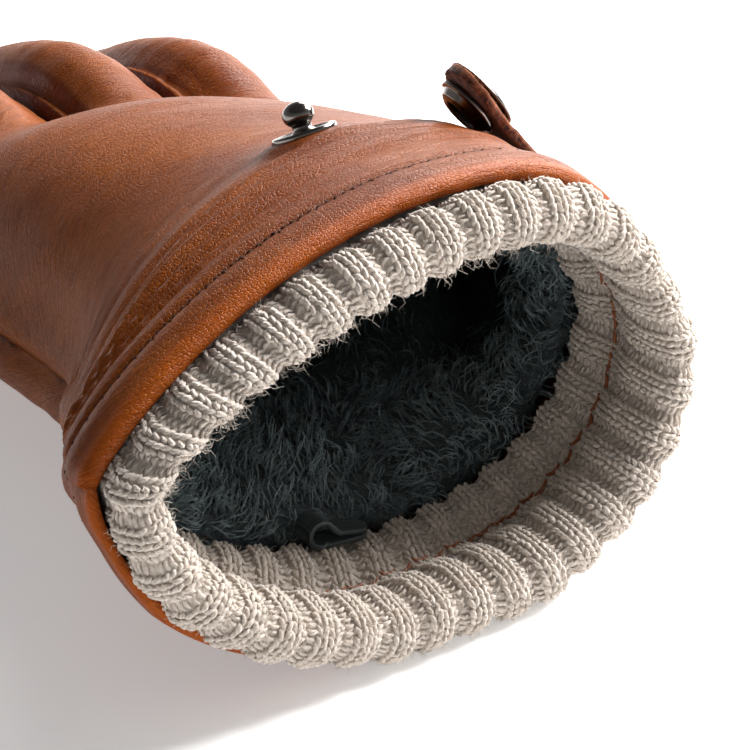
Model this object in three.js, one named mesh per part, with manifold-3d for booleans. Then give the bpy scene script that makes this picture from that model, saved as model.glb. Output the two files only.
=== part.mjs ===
// A deerskin glove lying palm down, its mouth propped open: leather panels, a folded rib-knit cuff,
// a deep-pile lining, and a short strap with a snap fastener.
// Millimetres, +Z up, fingers towards +Y, thumb on the +X side.

import * as THREE from 'three';
import { mergeVertices } from 'three/addons/utils/BufferGeometryUtils.js';
import Module from 'manifold-3d';

const wasm = await Module();
wasm.setup();

// Leather and seams
const LEATHER = 1.4;            // thickness of one layer of deerskin
const HEM_LAYERS = 2.4;         // thickness where the hem is turned in
const GAP = 0.3;                // left between pieces that are sewn or pressed together
const CLEAR = LEATHER + GAP;    // how far inside the outer surface the next layer starts
const RIM_Y = 0.8;              // where the middle of the hem's edge lies
const HAND_END = 139;           // the crotches between the fingers
const STRIP_HALF = 4;           // half height of the strips between the fingers
const AROUND = 28;              // points round the hand
const FINGER_AROUND = 12;       // points round a finger

// Sections across the glove. cx and half give the middle and half width, bottom and top the heights,
// left and right the heights of the two side seams, crown and keel how far the top and the bottom lie
// towards the thumb, turn and lean how the section is turned and leant, in degrees and in mm per mm,
// flat_left and flat_right how much its upper shoulders are flattened (1 is an ellipse).
const HAND = table(
  ['y', 'cx', 'half', 'bottom', 'top', 'left', 'right', 'crown', 'keel', 'turn', 'lean', 'flat_left', 'flat_right'],
  [
    [0.8, 4.6, 53.5, -0.8, 59.5, 36, 30, 12, 6, 14, 0.12, 1.5, 1.7],
    [9.0, 5.8, 52.3, -0.8, 59.3, 35, 30, 11, 6, 14, 0.12, 1.4, 1.8],
    [18.0, 8.3, 49.8, 0.0, 59.2, 32, 30, 10, 5, 13, 0.11, 1.3, 2.0],
    [30.0, 13.5, 45.5, 1.2, 58.2, 27, 29, 7, 3, 8, 0.08, 1.1, 2.1],
    [44.0, 19.5, 43.0, 2.0, 54.7, 23, 28, 3, 1, 3, 0.03, 1.0, 1.9],
    [60.0, 23.6, 43.6, 1.4, 50.2, 21, 28, -1, 0, 0, 0, 1.0, 1.3],
    [75.0, 24.5, 44.5, 0.2, 47.4, 20.5, 27, -4, 0, 0, 0, 1.0, 1.0],
    [90.0, 24.0, 44.0, -0.8, 45.6, 20, 25, -6, 0, 0, 0, 1.0, 1.0],
    [103.0, 23.5, 43.2, -1.0, 43.6, 20, 23, -7, 0, 0, 0, 1.0, 1.0],
    [112.0, 23.3, 42.6, -0.6, 40.8, 20, 21, -6, 0, 0, 0, 1.0, 1.0],
    [121.0, 23.2, 42.2, 2.0, 37.0, 20, 20.5, -4, 0, 0, 0, 1.0, 1.0],
    [130.0, 23.3, 42.0, 6.0, 34.0, 20, 20.5, -2, 0, 0, 0, 1.0, 1.0],
    [139.0, 23.5, 41.6, 9.0, 31.5, 21, 21, 0, 0, 0, 0, 1.0, 1.0],
    [150.0, 23.5, 41.6, 9.0, 31.5, 23.5, 23.5, 0, 0, 0, 0, 1.0, 1.0],
    [160.0, 23.5, 41.6, 9.0, 31.5, 24.2, 24.2, 0, 0, 0, 0, 1.0, 1.0],
    [170.0, 23.5, 41.6, 9.0, 31.5, 22.8, 22.8, 0, 0, 0, 0, 1.0, 1.0],
    [182.0, 23.5, 41.6, 9.0, 31.5, 19.5, 19.5, 0, 0, 0, 0, 1.0, 1.0],
    [196.0, 23.5, 41.6, 9.0, 31.5, 14.5, 14.5, 0, 0, 0, 0, 1.0, 1.0],
    [210.0, 23.5, 41.6, 9.0, 31.5, 10.4, 10.4, 0, 0, 0, 0, 1.0, 1.0],
    [225.0, 23.5, 41.6, 9.0, 31.5, 9.4, 9.4, 0, 0, 0, 0, 1.0, 1.0],
  ],
);

// The turned hem, from its edge inwards: how far its surface stands out past the hand's section
const HEM = table(
  ['from_edge', 'stands_out'],
  [
    [0.0, -0.8],
    [0.9, 0.2],
    [4.5, 0.6],
    [7.0, -0.4],
    [8.6, 0.1],
    [12.0, 0.0],
  ],
);
const HAND_STATIONS = [...HEM.map((row) => row.from_edge + RIM_Y),
  20, 32, 45, 60, 76, 92, 105, 114, 124, HAND_END];
const HOLLOW_STATIONS = [RIM_Y - 2, RIM_Y + 8, RIM_Y + 11, 20, 32, 45, 60, 76, 92, 105, 114, 124, 136];

// Fingers, from the thumb side outwards. Their middle line rises and falls with the side seams.
const FINGERS = table(
  ['name', 'root_x', 'tip_x', 'tip_y', 'half', 'height', 'drop'],
  [
    ['index', 54.5, 57.0, 210, 10.6, 12.3, 2.6],
    ['middle', 33.0, 31.0, 219, 10.6, 12.6, 0],
    ['ring', 11.8, 7.5, 210, 10.3, 12.2, 0.8],
    ['little', -8.4, -15.5, 192, 9.6, 11.2, 2.6],
  ],
);
const FINGER_START = 117;
const FINGER_STATIONS = [FINGER_START, 137, 150, 163, 176, 190];
const STRIP_START = 128;        // the strips between the fingers begin just short of the crotches
const STRIP_END = 14;           // and end this far from the fingertips

// Thumb: middle line and radius
const THUMB = table(
  ['x', 'y', 'z', 'radius'],
  [
    [42.0, 50.0, 16.5, 12.0],
    [53.0, 63.0, 15.0, 13.4],
    [64.0, 77.0, 13.4, 12.8],
    [72.5, 92.0, 12.0, 11.8],
    [78.5, 114.0, 10.2, 10.4],
  ],
);
const THUMB_TIP = 10;           // length of the rounded end

// Knit cuff: a folded band of 2 by 2 rib. from_edge is counted from the hem's edge into the glove and
// inset from the leather's outer surface inwards; a furrow between ribs moves by the last two columns.
const RIBS = 34;
const KNIT = table(
  ['from_edge', 'inset', 'furrow_in', 'furrow_along'],
  [
    [18.0, CLEAR + 0.8, 0, 0],
    [12.2, CLEAR + 0.8, 0, 0],
    [8.5, HEM_LAYERS + GAP + 0.8, 0, 0],
    [0.8, HEM_LAYERS + GAP + 0.8, 0.2, 0],
    [-1.3, 2.1, 0.7, 0],
    [-5.2, 0.3, 1.0, 0.1],
    [-8.8, 2.0, 0.9, 0.5],
    [-10.0, 4.8, 0.2, 1.0],
    [-8.0, 7.4, -0.7, 0.6],
    [-1.0, 8.1, -1.0, 0],
    [7.0, 4.8, -0.3, 0],
    [12.0, 6.9, -0.8, 0],
    [17.6, 6.4, -0.6, 0],
  ],
);

// Plush lining
const LINING = table(
  ['y', 'pile'],
  [
    [20.0, 7.6],
    [32.0, 8.4],
    [45.0, 8.6],
    [60.0, 8.2],
    [76.0, 7.8],
    [92.0, 7.0],
    [105.0, 6.0],
    [114.0, 5.0],
  ],
);
const CLUMP = 0.9;              // how far the matted locks of the pile stand in or out
const CLUMPS_AROUND = 7;
const CLUMP_LENGTH = 26;
const PAST = 5;                 // how far the hollow's solid reaches past the lining's ends
const THUMB_PILE = 5.2;         // the pile is shorter in the thumb

// Snap fastener
const STUD_Y = 41;              // where the stud sits on the back, as a section and an angle
const STUD_ANGLE = 101;
const STUD_TILT = 2;            // leans a little more towards the fingers than the leather does
const FLANGE_R = 4.8;
const BALL_R = 2.3;
const SOCKET_R = 4.9;
const CAP_R = 6.0;
const LATHE_SIDES = 13;

// Strap: sewn in at the seam of the thumb side, along the back and then up. Its middle line is given
// as an angle round the section and a height above the leather.
const STRAP_Y = 34;
const STRAP_THICK = 1.6;
const STRAP_HALF = 7.5;
const STRAP_TIP = 7;            // radius of the rounded end
const STRAP_LINE = table(
  ['angle', 'lift'],
  [
    [8, 2.0],
    [20, 2.0],
    [32, 2.0],
    [43, 2.0],
    [52, 1.9],
    [58.8, 2.3],
    [63.2, 3.4],
    [67.0, 4.8],
    [70.2, 6.4],
    [72.8, 8.0],
  ],
);
const SNAP_ALONG = 0.84;        // place of the socket along the strap

// Hanger loop: a dark ribbon folded into a small eye at the joint of knit and plush
const LOOP = { x: -1.2, y: 14.2, z: 7.8, width: 4.4, thick: 0.8, eye: 1.4, tail: 5.4 };

function table(columns, rows) {
  return rows.map((row) => Object.fromEntries(columns.map((name, i) => [name, row[i]])));
}

// Values of a table at a place between its rows, by a smooth curve through them. Past its ends the
// values stay, and only the place itself goes on.
function at(rows, key, place) {
  const clamped = Math.min(Math.max(place, rows[0][key]), rows.at(-1)[key]);
  let i = rows.findIndex((row) => row[key] >= clamped);
  i = Math.max(i, 1);
  const [a, b] = [rows[i - 1], rows[i]];
  const [before, after] = [rows[i - 2] ?? a, rows[i + 1] ?? b];
  const span = b[key] - a[key];
  const t = (clamped - a[key]) / span;
  const result = {};
  for (const name of Object.keys(a)) {
    const slopeA = (b[name] - before[name]) / (b[key] - before[key]) * span;
    const slopeB = (after[name] - a[name]) / (after[key] - a[key]) * span;
    result[name] = (2 * t ** 3 - 3 * t ** 2 + 1) * a[name] + (t ** 3 - 2 * t ** 2 + t) * slopeA
      + (3 * t ** 2 - 2 * t ** 3) * b[name] + (t ** 3 - t ** 2) * slopeB;
  }
  result[key] = place;
  return result;
}

// A point given across and up in a section, put in its place in the glove
function inSection(row, across, z) {
  const turn = THREE.MathUtils.degToRad(row.turn);
  const along = row.lean * (z - (row.bottom + row.top) / 2);
  return new THREE.Vector3(
    row.cx * Math.cos(turn) + across * Math.cos(turn) - along * Math.sin(turn),
    row.y + (row.cx + across) * Math.sin(turn) + along * Math.cos(turn),
    z,
  );
}

// A point of the hand's surface, or of one inside it by inset, flat where the glove lies
function handPoint(y, angle, inset) {
  const row = at(HAND, 'y', y);
  const [c, s] = [Math.cos(angle), Math.sin(angle)];
  const side = THREE.MathUtils.lerp(row.left, row.right, (c + 1) / 2);
  const end = s > 0 ? row.top - inset : row.bottom + inset;
  const shift = s > 0 ? row.crown : row.keel;
  const flat = THREE.MathUtils.lerp(1, c < 0 ? row.flat_left : row.flat_right, Math.abs(c));
  const rise = s > 0 ? s ** flat : -s;
  const z = side + (end - side) * rise;
  return inSection(row, (row.half - inset) * c + shift * s * s, Math.max(z, inset, 0));
}

function handRing(y, inset, angles) {
  return angles.map((angle) => handPoint(y, angle, inset));
}

function evenAngles(count) {
  return Array.from({ length: count }, (_, i) => 2 * Math.PI * i / count);
}

// Angles that give points evenly spaced along the edge of the hem
function evenlySpacedAngles(count) {
  const fine = evenAngles(720);
  const ring = handRing(RIM_Y, LEATHER, fine);
  const length = [0];
  ring.forEach((p, i) => length.push(length[i] + p.distanceTo(ring[(i + 1) % ring.length])));
  return Array.from({ length: count }, (_, i) => {
    const wanted = length.at(-1) * i / count;
    const j = length.findIndex((value) => value > wanted) - 1;
    return 2 * Math.PI * (j + (wanted - length[j]) / (length[j + 1] - length[j])) / 720;
  });
}

// A closed solid from rings of points: capped at both ends, or joined end to end
function ringsToGeometry(rings, joined = false) {
  const count = rings[0].length;
  const points = rings.flat();
  const index = [];
  const bands = joined ? rings.length : rings.length - 1;
  for (let i = 0; i < bands; i += 1) {
    const next = (i + 1) % rings.length;
    for (let j = 0; j < count; j += 1) {
      const k = (j + 1) % count;
      const [a, b, c, d] = [i * count + j, i * count + k, next * count + k, next * count + j];
      index.push(a, b, c, a, c, d);
    }
  }
  if (!joined) {
    for (const [ring, back] of [[0, true], [rings.length - 1, false]]) {
      const middle = points.length;
      const centre = new THREE.Vector3();
      rings[ring].forEach((p) => centre.addScaledVector(p, 1 / count));
      points.push(centre);
      for (let j = 0; j < count; j += 1) {
        const [a, b] = [ring * count + j, ring * count + (j + 1) % count];
        index.push(middle, ...(back ? [b, a] : [a, b]));
      }
    }
  }
  return facingOut(points, index);
}

function facingOut(points, index) {
  let volume = 0;
  for (let i = 0; i < index.length; i += 3) {
    const [a, b, c] = [points[index[i]], points[index[i + 1]], points[index[i + 2]]];
    volume += a.dot(new THREE.Vector3().crossVectors(b, c));
  }
  if (volume < 0) index.reverse();
  const geometry = new THREE.BufferGeometry();
  geometry.setFromPoints(points);
  geometry.setIndex(index);
  return geometry;
}

function toSolid(geometry) {
  const bare = geometry.clone();
  bare.deleteAttribute('normal');
  bare.deleteAttribute('uv');
  const merged = mergeVertices(bare, 1e-4);
  return new wasm.Manifold(new wasm.Mesh({
    numProp: 3,
    vertProperties: new Float32Array(merged.attributes.position.array),
    triVerts: new Uint32Array(merged.index.array),
  }));
}

function toGeometry(solid) {
  const { vertProperties, triVerts } = solid.getMesh();
  const geometry = new THREE.BufferGeometry();
  geometry.setAttribute('position', new THREE.BufferAttribute(new Float32Array(vertProperties), 3));
  geometry.setIndex(new THREE.BufferAttribute(new Uint32Array(triVerts), 1));
  return geometry;
}

// Hand and fingers
function hemOrHand(y) {
  const fromEdge = y - RIM_Y;
  return fromEdge > HEM.at(-1).from_edge ? 0 : at(HEM, 'from_edge', fromEdge).stands_out;
}

function handSolid(standsOut) {
  const angles = evenAngles(AROUND);
  const rings = HAND_STATIONS.map((y) => handRing(y, -standsOut - hemOrHand(y), angles));
  return toSolid(ringsToGeometry(rings));
}

function handHollow() {
  const angles = evenAngles(AROUND);
  const rings = HOLLOW_STATIONS.map((y) => (
    handRing(y, y < RIM_Y + 9 ? HEM_LAYERS : LEATHER, angles)));
  return toSolid(ringsToGeometry(rings));
}

function fingerX(finger, y) {
  const t = THREE.MathUtils.clamp((y - FINGER_START) / (finger.tip_y - FINGER_START), 0, 1);
  return THREE.MathUtils.lerp(finger.root_x, finger.tip_x, t);
}

// A finger is a tube along its arched middle line, rounded at its tip and flat where it lies
function fingerSolid(finger, inset) {
  const half = finger.half - inset;
  const roundStart = finger.tip_y - finger.half;
  const straight = FINGER_STATIONS.filter((y) => y < roundStart - 4);
  const rounded = [0, 0.55, 0.85].map((share) => roundStart + half * share);
  const rings = [...straight, ...rounded].map((y) => {
    const share = Math.sqrt(1 - (Math.max(0, y - roundStart) / half) ** 2);
    const slim = THREE.MathUtils.mapLinear(y, FINGER_START, finger.tip_y, 1, 0.86);
    const centre = Math.max(at(HAND, 'y', y).left - finger.drop, finger.height * slim - 1.2);
    return evenAngles(FINGER_AROUND).map((angle) => new THREE.Vector3(
      fingerX(finger, y) + (finger.half * slim - inset) * share * Math.cos(angle),
      y,
      Math.max(centre + (finger.height * slim - inset) * share * Math.sin(angle), inset),
    ));
  });
  return toSolid(ringsToGeometry(rings));
}

function thumbSolid(inset) {
  const curve = new THREE.CatmullRomCurve3(THUMB.map((row) => new THREE.Vector3(row.x, row.y, row.z)));
  const end = curve.getPoint(1);
  const endTangent = curve.getTangent(1);
  const rings = [];
  const ring = (centre, tangent, radius) => {
    const right = new THREE.Vector3().crossVectors(tangent, new THREE.Vector3(0, 0, 1)).normalize();
    const up = new THREE.Vector3().crossVectors(right, tangent).normalize();
    rings.push(evenAngles(FINGER_AROUND).map((angle) => {
      const p = centre.clone().addScaledVector(right, radius * Math.cos(angle));
      p.addScaledVector(up, radius * Math.sin(angle));
      p.z = Math.max(p.z, inset);
      return p;
    }));
  };
  THUMB.forEach((row, i) => {
    const t = i / (THUMB.length - 1);
    ring(curve.getPoint(t), curve.getTangent(t), row.radius - inset);
  });
  for (const share of [0.55, 0.85]) {
    const radius = (THUMB.at(-1).radius - inset) * Math.sqrt(1 - share ** 2);
    ring(end.clone().addScaledVector(endTangent, (THUMB_TIP - inset) * share), endTangent, radius);
  }
  return toSolid(ringsToGeometry(rings));
}

// A block between two surfaces that both follow the side seams. columns gives, for a section, a list of
// [x, how far above the seam the near surface lies, how far above it the far one lies].
function blockAlongSeam(stations, columns) {
  const near = [];
  const far = [];
  for (const y of stations) {
    const row = at(HAND, 'y', y);
    const seam = (x) => THREE.MathUtils.lerp(row.left, row.right, (x - row.cx + row.half) / (2 * row.half));
    const list = columns(y);
    near.push(list.map(([x, rise]) => inSection(row, x - row.cx, seam(x) + rise)));
    far.push(list.map(([x, , rise]) => inSection(row, x - row.cx, seam(x) + rise)));
  }
  const rings = near.map((points, i) => [...points, ...far[i].toReversed()]);
  return toSolid(ringsToGeometry(rings));
}

const ARCH_STATIONS = [134, 141, 148, 155, 163, 171, 180, 190, 203];
const STEP = 0.3;
const SEAM_STATIONS = [-14, RIM_Y, 10, 20, 30, 40, 52, 68, 90, 112];
const GAPS = [[0, 1], [1, 2], [2, 3]].map(([a, b]) => ({
  first: FINGERS[a],
  second: FINGERS[b],
  end: Math.min(FINGERS[a].tip_y, FINGERS[b].tip_y) - STRIP_END,
}));
const FAR = 240;

// Half height of the opening left for a strip, at a place along the fingers
function stripRoom(gap, y) {
  const inside = y > STRIP_START - GAP - STEP && y < gap.end + GAP + STEP;
  return inside ? STRIP_HALF + GAP : GAP / 2;
}

// Columns at the middle of each finger, doubled because the room for a strip changes there
function seamColumns(y, make) {
  const rooms = [GAP / 2, ...GAPS.map((gap) => stripRoom(gap, y)), GAP / 2];
  const columns = FINGERS.flatMap((finger, i) => {
    const middle = fingerX(finger, y);
    return [[middle + STEP, rooms[i]], [middle - STEP, rooms[i + 1]]];
  });
  return [[110, rooms[0]], ...columns, [-80, rooms.at(-1)]].map(([x, room]) => make(x, room));
}

function steppedStations() {
  const edges = new Set([STRIP_START - GAP - STEP, ...GAPS.map((gap) => gap.end + GAP + STEP)]);
  const stepped = [...edges].flatMap((y) => [y - STEP, y + STEP]);
  return [...SEAM_STATIONS, ...ARCH_STATIONS, FAR, ...stepped].toSorted((a, b) => a - b);
}

const TALL = 80;
const above = () => blockAlongSeam(steppedStations(), (y) => seamColumns(y, (x, room) => [x, room, TALL]));
const below = () => blockAlongSeam(steppedStations(), (y) => seamColumns(y, (x, room) => [x, -room, -TALL]));

// The strip between two neighbouring fingers, cut out of the leather that faces the gap
function stripSolid(shell, { first, second, end }) {
  const stations = [STRIP_START, ...ARCH_STATIONS.filter((y) => y < end - 1), end];
  const block = blockAlongSeam(stations, (y) => (
    [fingerX(first, y), fingerX(second, y)].map((x) => [x, -STRIP_HALF, STRIP_HALF])));
  return block.intersect(shell);
}

// Leather
const outerHand = FINGERS.reduce((body, finger) => body.add(fingerSolid(finger, 0)), handSolid(0));
const hollowHand = FINGERS.reduce((body, finger) => body.add(fingerSolid(finger, LEATHER)), handHollow());
const thumbHollow = thumbSolid(LEATHER);
const shell = outerHand.subtract(hollowHand).subtract(thumbHollow);
const thumbBag = thumbSolid(0).subtract(thumbHollow).subtract(handSolid(GAP));

const hide = new THREE.MeshStandardMaterial({ color: '#9c5228', roughness: 0.5, metalness: 0 });
const suede = new THREE.MeshStandardMaterial({ color: '#6d3119', roughness: 0.9, metalness: 0 });
const wool = new THREE.MeshStandardMaterial({ color: '#cdc1b3', roughness: 1, metalness: 0 });
const pile = new THREE.MeshStandardMaterial({ color: '#1d282b', roughness: 0.9, metalness: 0 });
const gunmetal = new THREE.MeshStandardMaterial({ color: '#4a4a4c', roughness: 0.25, metalness: 1 });
const ribbon = new THREE.MeshStandardMaterial({ color: '#1c2426', roughness: 0.7, metalness: 0 });

const glove = new THREE.Group();

function addPiece(name, geometry, material) {
  const mesh = new THREE.Mesh(geometry, material);
  mesh.name = name;
  glove.add(mesh);
  return mesh;
}

addPiece('back_panel', toGeometry(shell.intersect(above())), hide);
addPiece('palm_panel', toGeometry(shell.intersect(below())), hide);
addPiece('thumb_panel', toGeometry(thumbBag), hide);
for (const gap of GAPS) {
  addPiece(`fourchette_${gap.first.name}`, toGeometry(stripSolid(shell, gap)), hide);
}

// Knit cuff: a closed profile carried round the mouth, its ribs standing every second point
function knitGeometry() {
  const angles = evenlySpacedAngles(RIBS * 2);
  const rings = KNIT.map((row) => angles.map((angle, i) => {
    const furrow = i % 2;
    const y = RIM_Y + row.from_edge + furrow * row.furrow_along;
    return handPoint(y, angle, row.inset + furrow * row.furrow_in);
  }));
  return ringsToGeometry(rings, true);
}
addPiece('knit_cuff', knitGeometry(), wool);

// Plush lining: a tube with a lumpy inner face, open at the mouth and at the fingers, and the bag that
// it forms in the thumb
function liningSolid() {
  const angles = evenAngles(AROUND);
  const outer = LINING.map((row) => handRing(row.y, CLEAR + 0.2, angles));
  const inner = LINING.map((row, i) => angles.map((angle) => {
    const wave = Math.sin(CLUMPS_AROUND * angle + row.y / 11) * Math.sin(2 * Math.PI * row.y / CLUMP_LENGTH);
    const past = i === 0 ? -PAST : (i === LINING.length - 1) * PAST;
    return handPoint(row.y + past, angle, row.pile + CLUMP * wave);
  }));
  const hollow = toSolid(ringsToGeometry(inner));
  return toSolid(ringsToGeometry(outer)).add(thumbSolid(CLEAR + 0.2))
    .subtract(hollow.add(thumbSolid(THUMB_PILE)));
}
addPiece('plush_lining', toGeometry(liningSolid()), pile);

// Snap stud: a flange, a recessed ring, a neck and a ball, turned as one
function studGeometry() {
  const ballCentre = 3.1;
  const ball = [-50, -20, 15, 50].map((lift) => {
    const a = THREE.MathUtils.degToRad(lift);
    return new THREE.Vector2(BALL_R * Math.cos(a), ballCentre + BALL_R * 0.8 * Math.sin(a));
  });
  const profile = [
    new THREE.Vector2(0, 0),
    new THREE.Vector2(FLANGE_R, 0),
    new THREE.Vector2(FLANGE_R, 0.5),
    new THREE.Vector2(FLANGE_R - 0.6, 0.8),
    new THREE.Vector2(FLANGE_R - 1.3, 0.45),
    new THREE.Vector2(1.9, 0.6),
    new THREE.Vector2(1.4, 1.3),
    ...ball,
    new THREE.Vector2(0, ballCentre + BALL_R * 0.8),
  ];
  return new THREE.LatheGeometry(profile, LATHE_SIDES).rotateX(Math.PI / 2);
}

function surfaceNormal(y, angle) {
  const step = 1;
  const along = handPoint(y + step, angle, 0).sub(handPoint(y - step, angle, 0));
  const round = handPoint(y, angle - 0.02, 0).sub(handPoint(y, angle + 0.02, 0));
  return new THREE.Vector3().crossVectors(round, along).normalize();
}

const studAngle = THREE.MathUtils.degToRad(STUD_ANGLE);
const studNormal = surfaceNormal(STUD_Y, studAngle);
const stud = addPiece('snap_stud', studGeometry(), gunmetal);
stud.quaternion.setFromUnitVectors(new THREE.Vector3(0, 0, 1), studNormal);
stud.rotateOnWorldAxis(new THREE.Vector3(1, 0, 0), -THREE.MathUtils.degToRad(STUD_TILT));
stud.position.copy(handPoint(STUD_Y, studAngle, -GAP)).addScaledVector(studNormal, 0.5);

// Strap: a flat strip bent along its middle line, with a round end
const strapPoint = ({ angle, lift }, side) => (
  handPoint(STRAP_Y + side * STRAP_HALF, THREE.MathUtils.degToRad(angle), -lift));
const strapEdges = [-1, 1].map((side) => (
  new THREE.CatmullRomCurve3(STRAP_LINE.map((row) => strapPoint(row, side)))));
const strapMiddle = new THREE.CatmullRomCurve3(STRAP_LINE.map((row) => strapPoint(row, 0)));
const strapLength = strapMiddle.getLength();

function strapFrame(along) {
  const t = strapMiddle.getUtoTmapping(along);
  const [near, far] = strapEdges.map((edge) => edge.getPoint(t));
  const across = far.clone().sub(near).normalize();
  const tangent = strapMiddle.getTangent(t);
  const outward = new THREE.Vector3().crossVectors(across, tangent).normalize();
  return { middle: strapMiddle.getPoint(t), across, outward };
}

function strapGeometry() {
  const straight = [0, 0.12, 0.24, 0.36, 0.48, 0.6, 0.7, 1 - STRAP_TIP / strapLength];
  const rounded = [35, 60, 85].map((a) => (
    1 - STRAP_TIP / strapLength * (1 - Math.sin(THREE.MathUtils.degToRad(a)))));
  const rings = [...straight, ...rounded].map((along) => {
    const { middle, across, outward } = strapFrame(along);
    const past = Math.max(0, (along - 1) * strapLength / STRAP_TIP + 1);
    const half = (STRAP_HALF - 0.8 * along) * Math.sqrt(1 - past ** 2);
    const corners = [[-1, 0.5], [-1, -0.5], [1, -0.5], [1, 0.5]];
    return corners.map(([side, out]) => middle.clone()
      .addScaledVector(across, side * half)
      .addScaledVector(outward, out * STRAP_THICK));
  });
  return ringsToGeometry(rings);
}
addPiece('wrist_strap', strapGeometry(), suede);

// The socket on the flesh side of the strap and its cap on the grain side
function onStrap(mesh, side) {
  const { middle, outward } = strapFrame(SNAP_ALONG);
  const normal = outward.clone().multiplyScalar(side);
  mesh.quaternion.setFromUnitVectors(new THREE.Vector3(0, 0, 1), normal);
  mesh.position.copy(middle).addScaledVector(normal, STRAP_THICK / 2 + GAP);
}

function socketGeometry() {
  const profile = [
    [2.4, 0.1], [3.6, 0], [SOCKET_R, 0], [SOCKET_R, 0.6], [4.4, 0.7], [3.8, 1.7], [3.0, 2.1], [2.4, 1.7],
  ].map(([r, h]) => new THREE.Vector2(r, h));
  return new THREE.LatheGeometry([...profile, profile[0].clone()], LATHE_SIDES).rotateX(Math.PI / 2);
}

function capGeometry() {
  const profile = [[0, 0], [CAP_R - 0.3, 0], [CAP_R, 0.4], [CAP_R - 0.8, 0.9], [3.4, 1.2], [0, 1.3]]
    .map(([r, h]) => new THREE.Vector2(r, h));
  return new THREE.LatheGeometry(profile, LATHE_SIDES).rotateX(Math.PI / 2);
}
onStrap(addPiece('snap_socket', socketGeometry(), gunmetal), -1);
onStrap(addPiece('snap_cap', capGeometry(), gunmetal), 1);

// Hanger loop: the ribbon's outline seen from its edge, an eye with a flat tail
function loopGeometry() {
  const outer = LOOP.eye + LOOP.thick;
  const shape = new THREE.Shape();
  shape.absarc(0, outer, outer, Math.PI * 1.5, 0.0, true);
  shape.lineTo(outer + LOOP.tail, outer - 0.6);
  shape.lineTo(outer + LOOP.tail, 0.2);
  shape.lineTo(0, 0);
  const eye = new THREE.Path();
  eye.absarc(0, outer, LOOP.eye, 0, 2 * Math.PI, false);
  shape.holes.push(eye);
  const options = { depth: LOOP.width, bevelEnabled: false, curveSegments: 8 };
  return new THREE.ExtrudeGeometry(shape, options).translate(0, 0, -LOOP.width / 2).rotateX(Math.PI / 2);
}
const loop = addPiece('hanger_loop', loopGeometry(), ribbon);
loop.position.set(LOOP.x, LOOP.y, LOOP.z);

// The origin is the middle of the footprint, on the surface that the glove lies on
const box = new THREE.Box3().setFromObject(glove);
const middle = box.getCenter(new THREE.Vector3());
glove.position.set(-middle.x, -middle.y, -box.min.z);

export default glove;
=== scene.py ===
"""A lined leather glove lying palm down, its mouth propped open towards the camera.

Every size is in millimetres in the glove's own frame (x across to the thumb, y to the fingers, z up)
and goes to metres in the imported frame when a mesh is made.
"""

import bmesh
import bpy
import numpy as np
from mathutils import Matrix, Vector
from mathutils.bvhtree import BVHTree
from mathutils.kdtree import KDTree


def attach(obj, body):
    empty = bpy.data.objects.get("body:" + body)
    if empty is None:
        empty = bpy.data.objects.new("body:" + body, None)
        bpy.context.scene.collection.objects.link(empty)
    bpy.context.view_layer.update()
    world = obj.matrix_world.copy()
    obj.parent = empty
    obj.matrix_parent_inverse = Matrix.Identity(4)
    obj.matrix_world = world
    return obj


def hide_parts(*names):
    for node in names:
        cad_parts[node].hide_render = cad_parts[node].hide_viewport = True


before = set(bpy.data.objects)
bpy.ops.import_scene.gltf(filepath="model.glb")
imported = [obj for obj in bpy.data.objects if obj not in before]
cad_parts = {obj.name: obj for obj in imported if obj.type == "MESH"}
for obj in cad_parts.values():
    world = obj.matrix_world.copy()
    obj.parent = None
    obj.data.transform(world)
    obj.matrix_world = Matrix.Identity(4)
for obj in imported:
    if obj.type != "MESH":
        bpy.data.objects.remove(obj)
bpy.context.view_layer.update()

# Camera. The glove is seen from the little-finger side of its mouth, a little from above, with a long
# lens. The image is 750 pixels square, and the view was matched to it at 3465 pixels of focal length.
IMAGE_PX = 750
FOCAL_PX = 3465
SENSOR_MM = 36.0
CAMERA_DISTANCE = 0.45
CAMERA_AZIMUTH, CAMERA_ELEVATION = -30.0, 22.0
ORIGIN_IN_FRAME = np.array([-20.495, -98.951, 0.0])
CAMERA_TARGET = ORIGIN_IN_FRAME / 1000 + [0.0, 0.0, 0.0375]


def facing(name, data, azimuth, elevation, distance):
    """A camera or lamp turned to the glove from a distance in metres. Azimuth and elevation are degrees
    seen from the glove, and at 0 and 0 it stands level in front of the mouth."""
    a, e = np.radians([azimuth, elevation])
    away = Vector((np.sin(a) * np.cos(e), -np.cos(a) * np.cos(e), np.sin(e)))
    made = bpy.data.objects.new(name, data)
    made.location = Vector(CAMERA_TARGET) + distance * away
    made.rotation_mode = "QUATERNION"
    made.rotation_quaternion = away.to_track_quat("Z", "Y")
    bpy.context.collection.objects.link(made)
    return made


lens = bpy.data.cameras.new("long_lens")
lens.lens = FOCAL_PX / IMAGE_PX * SENSOR_MM
lens.sensor_width = SENSOR_MM
lens.clip_start = 0.01
bpy.context.scene.camera = facing("camera", lens, CAMERA_AZIMUTH, CAMERA_ELEVATION, CAMERA_DISTANCE)


# Paper sweep and studio lamps. White seamless paper lies under the glove on a table lit weakly from
# below. One wide softbox stands on the thumb side and a weaker one behind the fingers, the room is
# dimmer overhead, and the shadow falls left.
def linear(hex_colour):
    """The linear RGBA of an sRGB hex colour: c/12.92 below 0.04045, else ((c+0.055)/1.055)^2.4."""
    value = hex_colour.lstrip("#")
    srgb = np.array([int(value[i:i + 2], 16) for i in (0, 2, 4)]) / 255
    rgb = np.where(srgb <= 0.04045, srgb / 12.92, ((srgb + 0.055) / 1.055) ** 2.4)
    return (*rgb.tolist(), 1.0)


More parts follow.
